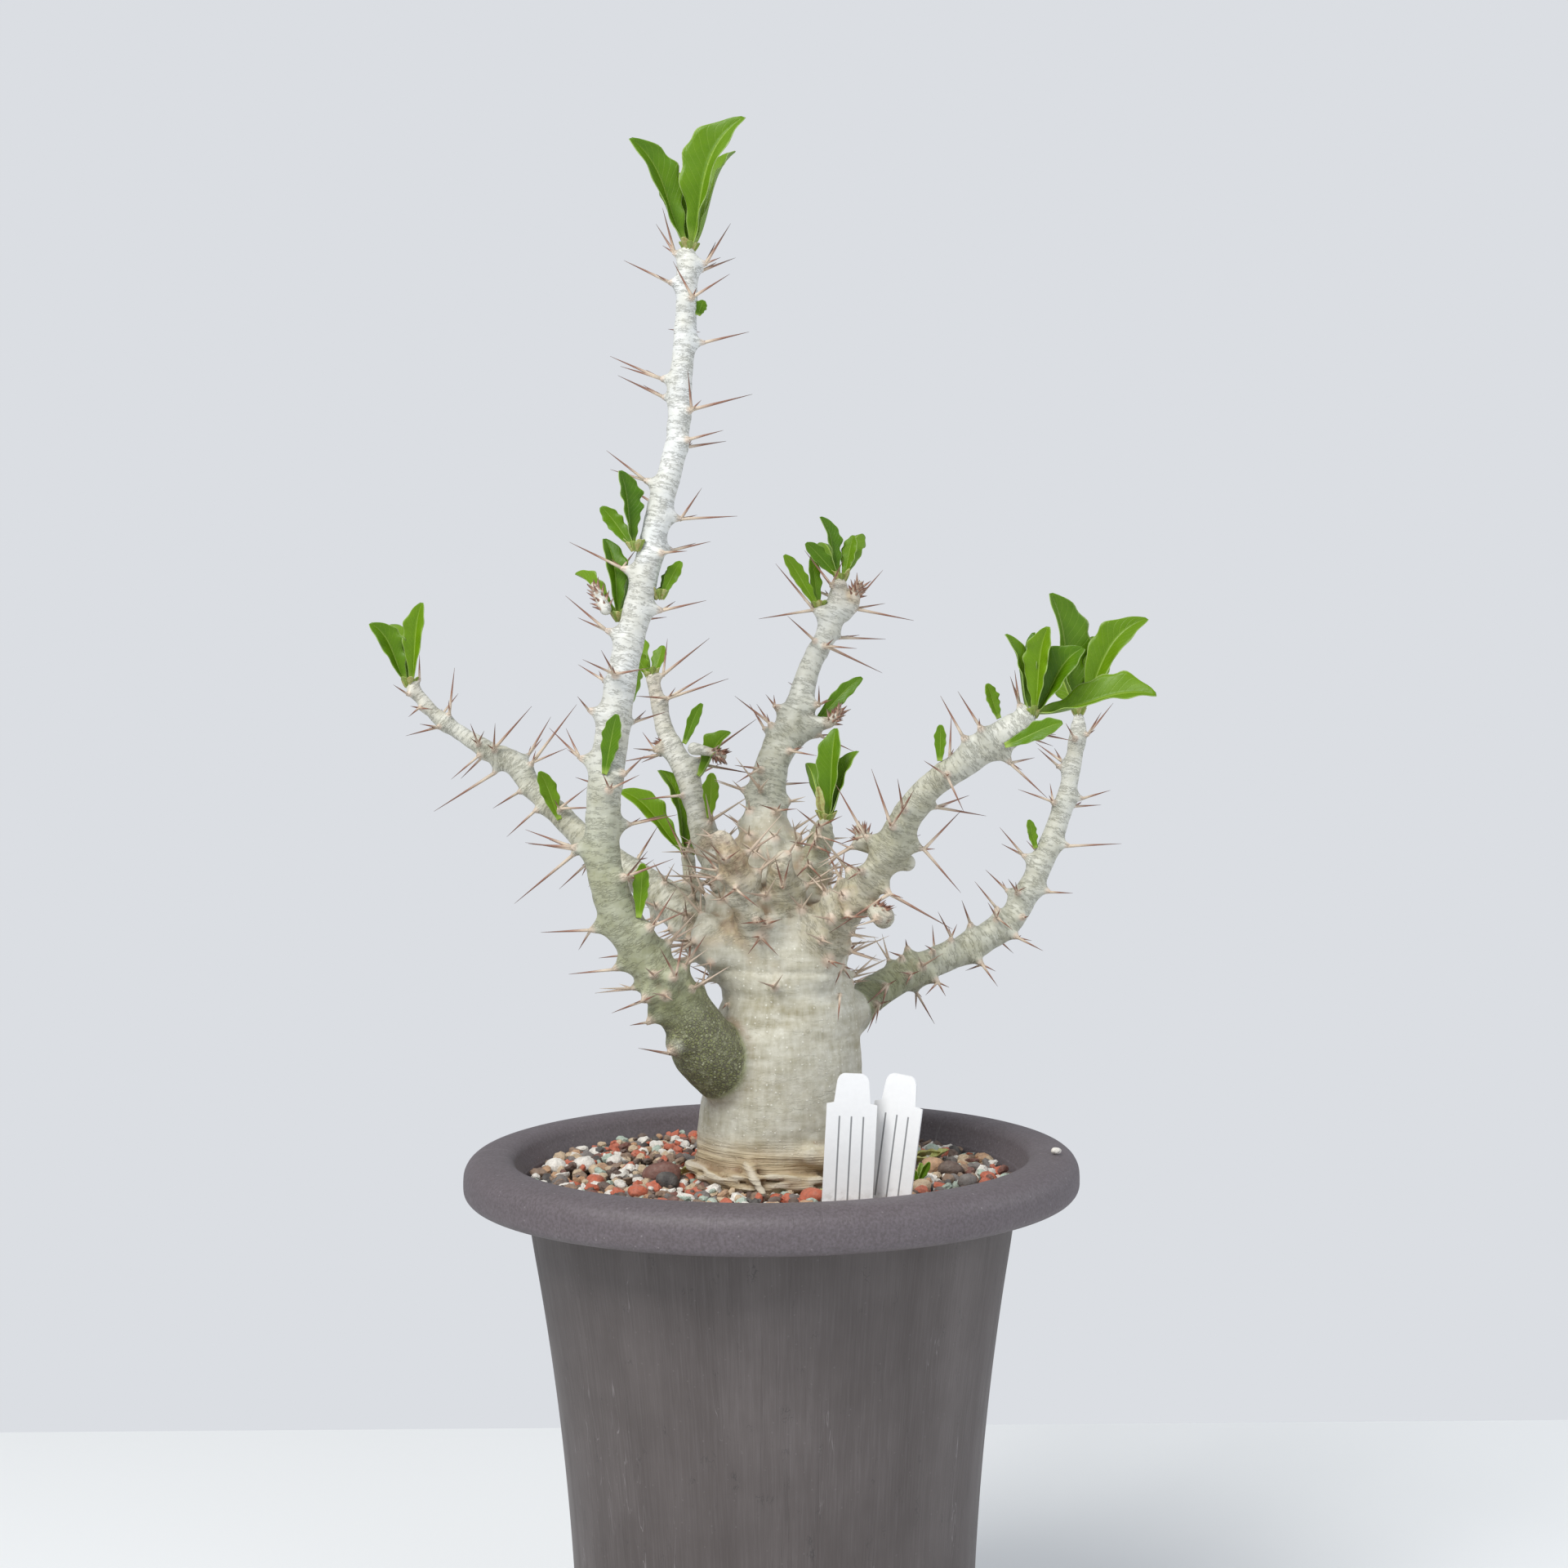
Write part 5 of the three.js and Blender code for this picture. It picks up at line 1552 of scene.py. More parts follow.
@dataclass
class Gravel:
    """Potting mix with a topping of washed stones, and single stones set on it."""

    effects: Effects
    repeats: Repeats
    level: float = 214.2
    reach: float = 82.6
    trunk_reach: float = 29.0
    bottom: float = 5.4

    # Name, height over the mix and the tree's inputs of each layer of stones
    layers = (
        ("stones_coarse", 0.9, {"Spacing": 0.0038, "Smallest": 0.0014, "Largest": 0.0037, "Seed": 4}),
        ("stones_fine", 2.1, {"Spacing": 0.0049, "Smallest": 0.0009, "Largest": 0.0027, "Seed": 9}),
    )
    # Single stones: place, half sizes, kind and seed
    singles = (
        (-37.5, -8, 218.6, 6.4, 4.6, 3.9, 0.955, 1), (-35.0, -17, 217.6, 3.9, 3.4, 3.3, 0.91, 2),
        (-76, 12, 217.2, 4.0, 3.2, 2.9, 0.3, 3), (-66, 16, 217.2, 4.2, 3.3, 3.0, 0.31, 4),
        (13.5, -37, 216.4, 4.6, 3.6, 2.9, 0.05, 5), (-56, 22, 217.0, 3.0, 2.6, 2.4, 0.32, 6),
        (56, 8, 217.4, 4.0, 3.4, 3.0, 0.74, 7), (62, 4, 217.2, 4.4, 3.0, 2.8, 0.54, 8),
        (-44, -30, 216.6, 3.2, 2.7, 2.4, 0.03, 9), (50, -22, 216.4, 3.6, 2.8, 2.4, 0.2, 10),
        (66, -16, 216.6, 3.4, 3.0, 2.6, 0.86, 11), (-60, -12, 216.8, 3.2, 2.9, 2.7, 0.07, 12),
    )

    def ground(self, x: float, y: float) -> float:
        """Returns the height of the mix at a place."""
        return self.level + 0.02 * y - 0.01 * x

    def _mix(self) -> Object:
        """Makes the closed body of potting mix.

        Returns:
            The piece.
        """
        rings, sides = 30, 120
        points = []
        for ring in range(rings + 1):
            reach = (self.reach + 0.9) * ring / rings
            for side in range(sides):
                turn = 2 * math.pi * side / sides
                points.append((reach * math.cos(turn), reach * math.sin(turn), 0.0))
        top = np.array(points)
        top[:, 2] = self.level - 1.6 + 0.02 * top[:, 1] - 0.01 * top[:, 0] + 0.9 * soft_noise(top, 6.0, 3)
        rows = [top]
        for height, radius in ((205, 80.4), (165, 74.0), (110, 67.5), (12, 63.5), (self.bottom, 61.6)):
            ring = top[-sides:].copy()
            ring[:, :2] *= radius / (self.reach + 0.9)
            ring[:, 2] = height
            rows.append(ring)
        places = np.vstack([*rows, [[0, 0, self.bottom]]])
        faces = ring_faces(rings + len(rows) - 1, sides)
        last = (rings + len(rows) - 1) * sides
        faces += [(len(places) - 1, last + (side + 1) % sides, last + side) for side in range(sides)]
        mix = make_piece("potting_mix", places, faces)
        shape = bmesh.new()
        shape.from_mesh(mix.data)
        bmesh.ops.remove_doubles(shape, verts=shape.verts, dist=1e-6)
        shape.to_mesh(mix.data)
        shape.free()
        return settle(mix, ["soil"], SoilFinish().build(self.effects))

    def _bed(self, lift: float) -> Object:
        """Makes the ring that stones are spread on.

        Args:
            lift: How high it lies over the mix.

        Returns:
            The ring.
        """
        sides, rings = 96, 8
        points = []
        for ring in range(rings + 1):
            reach = self.trunk_reach + (self.reach - 1.4 - self.trunk_reach) * ring / rings
            for side in range(sides):
                x = reach * math.cos(2 * math.pi * side / sides) + 3.0 * (1 - ring / rings)
                y = reach * math.sin(2 * math.pi * side / sides)
                points.append((x, y, self.ground(x, y) + lift))
        return make_piece("bed", np.array(points), ring_faces(rings, sides))

    def _single_stones(self, material: Material) -> Object:
        """Sets the larger stones that stand out from the rest.

        Args:
            material: The stones' material.

        Returns:
            The stones, joined in one piece.
        """
        points, faces, kinds = [], [], []
        whole, corners = ball()
        for x, y, z, wide, deep, tall, kind, seed in self.singles:
            lumps = 0.16 * soft_noise(whole, 0.9, seed)[:, None]
            places = whole * (1.0 + lumps + 0.05 * soft_noise(whole, 0.35, seed)[:, None])
            faces += [tuple(len(points) + corner for corner in face) for face in corners]
            points += ((places * (wide, deep, tall)) + (x, y, z)).tolist()
            kinds += [kind] * len(places)
        made = make_piece("large_stones", np.array(points), faces)
        store(made, "kind", np.array(kinds))
        return settle(made, (), material)

    def build(self) -> None:
        """Makes the mix, the stones and the rim pebble."""
        self._mix()
        material = StoneFinish().build(self.effects)
        for name, lift, sizes in self.layers:
            bed = self._bed(lift)
            settle(self.repeats.grown(bed, self.repeats.stones, name, Material=material, **sizes))
        self._single_stones(material)
        self._rim_pebble(material)

    def _rim_pebble(self, material: Material) -> None:
        """Lays the small white pebble on the pot's rim.

        Args:
            material: The stones' material.
        """
        places, faces = ball()
        places *= 1.0 + 0.12 * soft_noise(places, 0.8, 21)[:, None]
        pebble = make_piece("rim_pebble_stone", places * (1.75, 1.4, 1.15) + (95.6, -18.6, 227.2), faces)
        store(pebble, "kind", np.full(len(places), 0.3))
        settle(pebble, ["rim_pebble"], material)


# The plant's wood and spines


class Seat(Enum):
    """What a pad sits on."""

    TRUNK = "trunk"
    STEM = "stem"
    CROWN = "crown"


@dataclass
class Pad:
    """A raised pad on a line, with the spines that it carries."""

    seat: Seat
    place: np.ndarray
    out: np.ndarray
    along: np.ndarray
    radius: float
    tip: np.ndarray
    spines: list[tuple[np.ndarray, float]] = field(default_factory=list)


@dataclass
class Growth:
    """The lines of the plant and the pads along them."""

    pad_rise: float = 0.5
    shortest_spine: float = 13.0
    spiral_spine: float = 15.0
    spiral_pitch: float = 9.5

    def __post_init__(self) -> None:
        """Lays the lines and finds the pads."""
        self.trunk = CentreLine(TRUNK_LINE)
        self.lines = {name: CentreLine(points) for name, points in WOOD_LINES.items()}
        self.pads: list[Pad] = []
        for name, rows in PADS.items():
            line = self.trunk if name == "trunk" else self.lines[name]
            samples = line.samples(1.2)
            self.pads += [self._drawn_pad(name, samples, row) for row in rows]
        for seed, (name, line) in enumerate(self.lines.items()):
            self.pads += self._spiral_pads(name, line, seed)

    def _drawn_pad(self, name: str, samples: list[Frame], row: Numbers) -> Pad:
        """Finds a drawn pad on the viewer's side of its line.

        Args:
            name: The line's name.
            samples: Frames along the line.
            row: Drawn x and z of the pad, and of each spine's tip.

        Returns:
            The pad.
        """
        drawn = as_drawn(np.array([frame.place for frame in samples]))
        spot = np.array(row[:2])
        near = samples[int(np.argmin(np.sum((drawn - spot) ** 2, 1)))]
        across = normalised(near.side[[0, 2]])
        offset = float((spot - as_drawn(near.place[None])[0]) @ across)
        seat = Seat.TRUNK if name == "trunk" else Seat.STEM
        short = seat is Seat.TRUNK
        rise = 0.8 if short else min(1.0 + self.pad_rise * near.radius, 5.2)
        sine = max(-1.0, min(1.0, offset / (near.radius + 0.7 * rise)))
        out = near.side * sine - near.back * math.sqrt(1.0 - sine * sine)
        tip = near.place + out * (near.radius + rise)
        pad = Pad(seat, near.place, out, near.along, near.radius, tip)
        for index in range(2, len(row), 2):
            flat = at_depth((row[index], float(tip[1]), row[index + 1])) - tip
            reach = float(np.linalg.norm(flat))
            wanted = max(reach, min(self.shortest_spine, reach * 1.3 + 1.5))
            depth = math.sqrt(max(wanted * wanted - reach * reach, 0.0))
            flat[1] = -depth if index % 4 == 2 or abs(sine) < 0.7 else depth
            pad.spines.append((normalised(flat), wanted))
        if not short and len(pad.spines) > 1:
            small = normalised(out + near.along * 0.5)
            pad.spines.append((small, 3.5 + 2.5 * unit_hash(spot[0], 5)))
        return pad

    def _spiral_pads(self, name: str, line: CentreLine, seed: int) -> list[Pad]:
        """Gives the pads on the side that no drawing shows.

        Args:
            name: The line's name.
            line: The line.
            seed: Where the turn starts.

        Returns:
            The pads.
        """
        found = []
        reach, index = 26.0 if name.startswith("stem") else 12.0, 0
        while reach < line.length - 4.0:
            near = line.frame(reach / line.length)
            angle = seed + index * GOLDEN_TURN
            out = near.back * math.cos(angle) + near.side * math.sin(angle)
            if out[1] > 0.3:
                across = np.cross(near.along, out)
                rise = 1.0 + self.pad_rise * near.radius
                tip = near.place + out * (near.radius + rise)
                pad = Pad(Seat.STEM, near.place, out, near.along, near.radius, tip)
                length = self.spiral_spine * (0.7 + 0.5 * unit_hash(index, seed + 20))
                upward = near.along * (0.2 + 0.4 * unit_hash(index, seed))
                for turn in (-1.0, 1.0):
                    pad.spines.append((normalised(out + across * turn * 0.5 + upward), length))
                pad.spines.append((normalised(out + near.along * 0.7), 4.0))
                found.append(pad)
            reach += self.spiral_pitch * (0.6 + 0.35 * unit_hash(index, seed + 40))
            index += 1
        return found


class DistanceField:
    """A block of distances to the wood's surface, in millimetres."""

    FAR = 9.0

    def __init__(self, low: Numbers, high: Numbers, cell: float) -> None:
        """Starts empty between two corners.

        Args:
            low: The lowest corner.
            high: The highest corner.
            cell: Size of a cell.
        """
        self.low, self.cell = np.array(low, float), cell
        self.shape = np.ceil((np.array(high) - self.low) / cell).astype(int) + 1
        self.values = np.full(self.shape, self.FAR, np.float32)

    def _window(self, low: np.ndarray, high: np.ndarray) -> tuple[slice, ...]:
        """Returns the cells between two corners.

        Args:
            low: The lowest corner.
            high: The highest corner.

        Returns:
            The cells along each axis.
        """
        first = np.clip(np.floor((low - self.low) / self.cell).astype(int), 0, self.shape - 1)
        last = np.clip(np.ceil((high - self.low) / self.cell).astype(int) + 1, 1, self.shape)
        return tuple(slice(int(a), int(b)) for a, b in zip(first, last))

    def add(self, places: np.ndarray, radii: np.ndarray, blend: float) -> None:
        """Melts a tapered line into the field.

        Args:
            places: Rows of places along the line.
            radii: Radius at each place.
            blend: How widely the joint is rounded.
        """
        margin = float(radii.max()) + 4.0 + blend
        whole = self._window(places.min(0) - margin, places.max(0) + margin)
        own = np.full(tuple(part.stop - part.start for part in whole), self.FAR, np.float32)
        for start, end, first, last in zip(places[:-1], places[1:], radii[:-1], radii[1:]):
            edge = max(first, last) + 4.0 + blend
            window = self._window(np.minimum(start, end) - edge, np.maximum(start, end) + edge)
            axes = [self.low[k] + self.cell * np.arange(window[k].start, window[k].stop) for k in range(3)]
            span = end - start
            size = max(float(span @ span), 1e-9)
            offsets = [axes[0][:, None, None] - start[0], axes[1][None, :, None] - start[1],
                       axes[2][None, None, :] - start[2]]
            share = np.clip(sum(offset * span[k] for k, offset in enumerate(offsets)) / size, 0.0, 1.0)
            squares = sum((offset - share * span[k]) ** 2 for k, offset in enumerate(offsets))
            distance = (np.sqrt(squares) - (first + (last - first) * share)).astype(np.float32)
            inner = tuple(slice(part.start - block.start, part.stop - block.start)
                          for part, block in zip(window, whole))
            own[inner] = np.minimum(own[inner], distance)
        old = self.values[whole]
        near = np.maximum(blend - np.abs(old - own), 0.0) / blend
        self.values[whole] = np.minimum(old, own) - near * near * blend * 0.25

    def surface(self) -> tuple[np.ndarray, list]:
        """Returns the points and faces where the distance is nought.

        Returns:
            Rows of places, and the corners of each face.
        """
        grid = openvdb.FloatGrid(self.FAR)
        grid.copyFromArray(self.values)
        points, triangles, quads = grid.convertToPolygons(isovalue=0.0, adaptivity=0.0)
        faces = [tuple(int(corner) for corner in face) for kind in (quads, triangles) for face in kind]
        return points.astype(float) * self.cell + self.low, faces


@dataclass
class Wood:
    """The trunk, the stems and the short shoots as one skin, with its pads."""

    growth: Growth
    effects: Effects
    cell: float = 0.97
    margin: float = 9.0
    trunk_blend: float = 0.01
    stem_blend: float = 4.5
    pad_blend: float = 2.6
    roots: int = 11
    thicket_low: float = 282.0
    thicket_high: float = 352.0
    thicket_gap: float = 7.6
    collar_top: tuple[float, ...] = (224.0, 236.0)
    folded: tuple[float, ...] = (262.0, 272.0, 288.0, 296.0)
    scaly: tuple[float, ...] = (284.0, 300.0, 335.0, 352.0)

    def _field(self) -> DistanceField:
        """Gathers the trunk, lines, lumps, roots and pads.

        Returns:
            The field.
        """
        held = [np.array(lump, float)[:, :3] for lump in LUMPS]
        held += [line.rod(6.0)[0] for line in self.growth.lines.values()]
        ends = np.vstack([*held, [(-36, -36, 205), (42, 36, 300)]])
        shape = DistanceField(ends.min(0) - self.margin, ends.max(0) + self.margin, self.cell)
        shape.add(*self.growth.trunk.rod(3.0), self.trunk_blend)
        for line in self.growth.lines.values():
            shape.add(*line.rod(2.2), self.stem_blend)
        for lump in LUMPS:
            rows = np.array(lump, float)
            shape.add(rows[:, :3], rows[:, 3], 2.6 if rows[:, 3].max() < 4.5 else 5.0)
        self._thicket(shape)
        for pad in self.growth.pads:
            if pad.seat is Seat.TRUNK:
                foot = pad.tip - pad.out * 2.4
                shape.add(np.array([foot, pad.tip]), np.array([1.7, 0.8]), 1.6)
            else:
                foot = pad.place + pad.out * 0.35 * pad.radius - pad.along * 0.4 * pad.radius
                middle = pad.place + pad.out * pad.radius * 0.98 - pad.along * 0.06 * pad.radius
                radii = np.array([0.7 * pad.radius, max(0.46 * pad.radius, 1.5), 1.0])
                shape.add(np.array([foot, middle, pad.tip]), radii, self.pad_blend)
        for index in range(self.roots):
            self._root(shape, index)
        return shape

    def _root(self, shape: DistanceField, index: int) -> None:
        """Lays one thin root round the foot of the trunk.

        Args:
            shape: The field that it melts into.
            index: The root's number.
        """
        start = 2 * math.pi * unit_hash(index, 61)
        reach = 0.5 + 1.1 * unit_hash(index, 62)
        height = 214.5 + 7.0 * unit_hash(index, 63)
        rows = []
        for step in range(9):
            turn = start + reach * step / 8
            radius = 30.2 + 1.6 * unit_hash(index, 64) + math.sin(step * 1.3 + index)
            radius -= (height - 214) * 0.08
            high = height + 1.2 * math.sin(step * 0.9 + 2 * index)
            rows.append((3 + radius * math.cos(turn), radius * math.sin(turn), high))
        radii = np.interp(np.arange(9), (0, 3, 8), (0.5, 1.0 + 0.5 * unit_hash(index, 65), 0.5))
        shape.add(np.array(rows), radii, 1.2)

    def _thicket(self, shape: DistanceField) -> None:
        """Sets a crowd of pads over the crown, on the skin that is there so far.

        Args:
            shape: The field so far.
        """
        skin, _ = shape.surface()
        middle = np.array([3.0, 2.0])
        reach = np.interp(skin[:, 2], (282, 305, 350), (62, 54, 26))
        near = np.linalg.norm(skin[:, :2] - middle, axis=1) < reach
        spots = skin[near & (skin[:, 2] > self.thicket_low) & (skin[:, 2] < self.thicket_high)]
        order = np.argsort([unit_hash(index, 91) for index in range(len(spots))])
        room = np.full(len(spots), 1e9)
        for pad in self.growth.pads:
            room = np.minimum(room, np.sum((spots - pad.tip) ** 2, 1))
        for rank in order:
            if room[rank] < self.thicket_gap ** 2:
                continue
            spot = spots[rank]
            room = np.minimum(room, np.sum((spots - spot) ** 2, 1))
            cell = np.round((spot - shape.low) / shape.cell).astype(int)
            slope = [shape.values[tuple(cell + step)] - shape.values[tuple(cell - step)]
                     for step in np.eye(3, dtype=int) * 2]
            out = normalised(np.array(slope, float))
            front = out[1] < -0.4 and abs(spot[0] - 2) < 24 and spot[2] < 306
            if abs(out[2]) > 0.93 or (front and unit_hash(rank, 90) < 0.75):
                continue
            level = normalised(np.cross((0.0, 0.0, 1.0), out))
            pick = unit_hash(rank, 92)
            size = 3.6 + 2.4 * unit_hash(rank, 93)
            tip = spot + out * (1.6 + 1.6 * pick)
            pad = Pad(Seat.CROWN, spot - out * size, out, np.cross(out, level), size, tip)
            length = 5.0 + 13.0 * pick ** 1.3
            for side in (-1.0, 1.0):
                lean = 0.35 + 0.5 * unit_hash(rank, 94 + side)
                aim = out + level * side * lean + np.array([0, 0, 0.7 * unit_hash(rank, 97 + side) - 0.1])
                pad.spines.append((normalised(aim), length * (0.8 + 0.4 * unit_hash(rank, 98 + side))))
            if pick > 0.5:
                pad.spines.append((normalised(out + np.array([0.0, 0.0, 0.8])), 4.5))
            self.growth.pads.append(pad)

    def _straight(self, places: np.ndarray) -> dict[str, np.ndarray]:
        """Unrolls each point along its nearest stem, and tells the stems from the trunk.

        Args:
            places: Rows of places on the skin.

        Returns:
            The values to store, by attribute name.
        """
        best, second = np.full(len(places), 1e9), np.full(len(places), 1e9)
        straight = np.zeros((len(places), 3))
        values = {name: np.zeros(len(places)) for name in ("silver", "green", "brown")}
        for number, (name, line) in enumerate(self.growth.lines.items()):
            frames = line.samples(1.5)
            middles = np.array([f.place for f in frames])
            reach = max(f.radius for f in frames) + 9.0
            inside = np.all((places > middles.min(0) - reach) & (places < middles.max(0) + reach), 1)
            rows = np.flatnonzero(inside)
            nearest, gap = np.zeros(len(rows), int), np.full(len(rows), 1e9)
            for index, frame in enumerate(frames):
                away = np.linalg.norm(places[rows] - frame.place, axis=1) - frame.radius
                closer = away < gap
                nearest[closer], gap[closer] = index, away[closer]
            better = gap < best[rows]
            second[rows] = np.where(better, best[rows], np.minimum(second[rows], gap))
            rows, nearest = rows[better], nearest[better]
            best[rows] = gap[better]
            alongs, backs, sides = (np.array([getattr(frame, key) for frame in frames])[nearest]
                                    for key in ("along", "back", "side"))
            offset = places[rows] - middles[nearest]
            lengths = np.linspace(0, line.length, len(frames))[nearest] + np.sum(offset * alongs, 1)
            across = [np.sum(offset * axes, 1) for axes in (backs, sides)]
            straight[rows] = np.stack([*across, lengths], 1) + number * 41.0
            share = lengths / line.length
            for key, tint in zip(("silver", "green", "brown"), TINTS[name]):
                values[key][rows] = np.interp(share, tint[0], tint[1])
        frames = self.growth.trunk.samples(2.0)
        body = np.full(len(places), 1e9)
        for frame in frames:
            body = np.minimum(body, np.linalg.norm(places - frame.place, axis=1) - frame.radius)
        own = smooth_step(body - best, -1.0, 3.0)
        stemness = own * smooth_step(second - best, 0.2, 2.6)
        for key in values:
            values[key] *= own * (stemness if key == "green" else 1.0)
        return {"straight": straight * MM, "stemness": stemness, **values}

    @staticmethod
    def _hollows(wood: Object, normals: np.ndarray) -> np.ndarray:
        """Finds how far the skin lies below the mean of what is round it.

        Args:
            wood: The piece.
            normals: The skin's normal at each point.

        Returns:
            The depth in millimetres at each point, below 0 where the skin stands out.
        """
        places = points_of(wood)
        ends = np.zeros(2 * len(wood.data.edges), np.int32)
        wood.data.edges.foreach_get("vertices", ends)
        first, last = ends.reshape(-1, 2).T
        count = np.bincount(ends, minlength=len(places))[:, None]
        mean = places.copy()
        for _ in range(7):
            total = [np.bincount(first, mean[last, axis], len(places))
                     + np.bincount(last, mean[first, axis], len(places)) for axis in range(3)]
            mean = np.stack(total, 1) / count
        return np.sum((mean - places) * normals, 1)

    def _lift(self, places: np.ndarray, values: dict[str, np.ndarray]) -> np.ndarray:
        """Finds how far ridges, folds and wrinkles raise the skin.

        Args:
            places: Rows of places on the skin.
            values: The values found so far.

        Returns:
            The rise in millimetres at each point.
        """
        on_trunk = 1.0 - values["stemness"]
        ridges = 1.0 - np.abs(soft_noise(places * (0.35, 0.35, 1.0), 2.6, 8))
        folds = (1.0 - np.abs(soft_noise(places * (0.16, 0.16, 1.0), 5.5, 4))) ** 4
        lift = 0.5 * soft_noise(places, 9.0, 5) * on_trunk + 0.2 * soft_noise(places, 3.4, 6)
        lift += values["collar"] * 0.75 * (ridges - 0.6)
        lift -= hill(places[:, 2], self.folded) * on_trunk * 0.9 * folds
        wrinkle = 1.0 - np.abs(soft_noise(values["straight"] / MM * (0.3, 0.3, 1.0), 1.7, 9))
        return lift - 0.09 * values["stemness"] * wrinkle ** 3

    def _pad_marks(self, places: np.ndarray) -> np.ndarray:
        """Finds how near each point is to the tip of a pad.

        Args:
            places: Rows of places on the skin.

        Returns:
            A value for each point, 1 at a tip.
        """
        marks = np.zeros(len(places))
        for pad in self.growth.pads:
            away = np.linalg.norm(places - pad.tip, axis=1)
            size = 1.6 if pad.seat is Seat.TRUNK else 1.2 + 0.28 * pad.radius
            marks = np.maximum(marks, np.exp(-((away / size) ** 2)))
        return marks

    def _brown_marks(self, places: np.ndarray) -> np.ndarray:
        """Finds the brown of the scaly tips and of patches between the crown's spines.

        Args:
            places: Rows of places on the skin.

        Returns:
            The share of brown at each point.
        """
        crown = hill(places[:, 2], self.scaly)
        crown *= 1 - smooth_step(np.hypot(places[:, 0] - 3, places[:, 1] - 2), 34, 48)
        brown = 0.78 * crown * smooth_step(soft_noise(places, 8.0, 41), 0.05, 0.5)
        for lump in SCALY:
            for x, y, z, radius in lump[1:]:
                away = np.linalg.norm(places - (x, y, z), axis=1) - radius
                brown = np.maximum(brown, 0.9 * (1 - smooth_step(away, 0.3, 2.2)))
        return brown

    def build(self) -> Object:
        """Makes and dresses the wood.

        Returns:
            The piece.
        """
        points, faces = self._field().surface()
        wood = make_piece("plant_wood", points, faces)
        outward(wood)
        places, normals = points_of(wood), normals_of(wood)
        values = self._straight(places)
        edge = places[:, 2] + 2.5 * soft_noise(places, 7.0, 31)
        values["collar"] = (1.0 - smooth_step(edge, *self.collar_top)) * (1.0 - values["stemness"])
        hollow = self._hollows(wood, normals)
        # the hollows get painted shade in the bark
        values["hollow"] = smooth_step(hollow, 0.08, 0.5)
        # crest: paler where the skin stands out from what is round it
        values["crest"] = smooth_step(-hollow, 0.12, 0.6)
        moved = (places + normals * self._lift(places, values)[:, None]) * MM
        wood.data.vertices.foreach_set("co", moved.astype(np.float32).ravel())
        values["pad"] = self._pad_marks(places)
        values["brown"] = np.maximum(values["brown"], self._brown_marks(places))
        for name, rows in values.items():
            store(wood, name, rows)
        wood.data.update()
        stems = [name for name in WOOD_LINES if name.startswith("stem")]
        return settle(wood, ["trunk", *stems], BarkFinish().build(self.effects))


@dataclass
class Needles:
    """All spines of the plant, and the small scales at its tips, grown on points."""

    growth: Growth
    effects: Effects
    repeats: Repeats
    sink: float = 0.7
    thin: float = 0.45
    slope: float = 0.011
    foot: float = 0.001
    sides: int = 7
    scales: int = 26

    def _points(self, name: str, rows: list[tuple], tones: list[float]) -> Object:
        """Makes points that hold aim, length, thickness and tone.

        Args:
            name: The object's name.
            rows: Place, aim, length and thickness share of each needle.
            tones: How bleached each needle is.

        Returns:
            The points.
        """
        made = make_piece(name, np.array([row[0] - row[1] * self.sink for row in rows]), [], smooth=False)
        store(made, "aim", np.array([row[1] for row in rows]))
        store(made, "length", np.array([(row[2] + self.sink) * MM for row in rows]))
        store(made, "thick", np.array([row[3] for row in rows]))
        store(made, "tone", np.array(tones))
        return made

    def _scales(self, lump: Sequence[Numbers], number: int) -> list[tuple]:
        """Sets small scales round the end of a lump, by the golden turn.

        Args:
            lump: Places and radii of the lump.
            number: The lump's number.

        Returns:
            Place, aim, length and thickness share of each scale.
        """
        start, end = np.array(lump[-2][:3], float), np.array(lump[-1][:3], float)
        axis = normalised(end - start)
        rows = []
        for index in range(self.scales):
            angle, share = index * GOLDEN_TURN, (index + 0.5) / self.scales
            ring = normalised(np.cross(axis, (math.cos(angle), math.sin(angle), 0.3)))
            radius = lump[-2][3] + (lump[-1][3] - lump[-2][3]) * share
            aim = normalised(ring + axis * (0.5 + 1.4 * share))
            length = 1.6 + 2.4 * unit_hash(index, number + 80)
            rows.append((start + (end - start) * share + ring * radius * 0.8, aim, length, 0.72))
        return rows

    def build(self) -> None:
        """Makes and dresses the spines."""
        rows, tones = [], []
        for pad in self.growth.pads:
            bleached = 0.75 if pad.seat is Seat.CROWN else 0.0
            for aim, length in pad.spines:
                rows.append((pad.tip, aim, length, self.thin + self.slope * length))
                tones.append(bleached + (0.55 - 0.05 * bleached) * unit_hash(len(rows), 71))
        for number, lump in enumerate(SCALY):
            rows += self._scales(lump, number)
            tones += [0.15 + 0.6 * unit_hash(index, number + 90) for index in range(self.scales)]
        points = self._points("spine_points", rows, tones)
        material = SpineFinish().build(self.effects)
        spines = self.repeats.grown(points, self.repeats.needles, "spines", Sides=self.sides,
                                    Foot_radius=self.foot, Material=material)
        spines.data.shade_smooth()
        settle(spines)


# Leaves


class Tuft(NamedTuple):
    """Where a node's leaves grow and how they lie, as LEAVES tells it."""

    line: str
    height: float | None
    turn: float
    blades: Sequence[tuple]


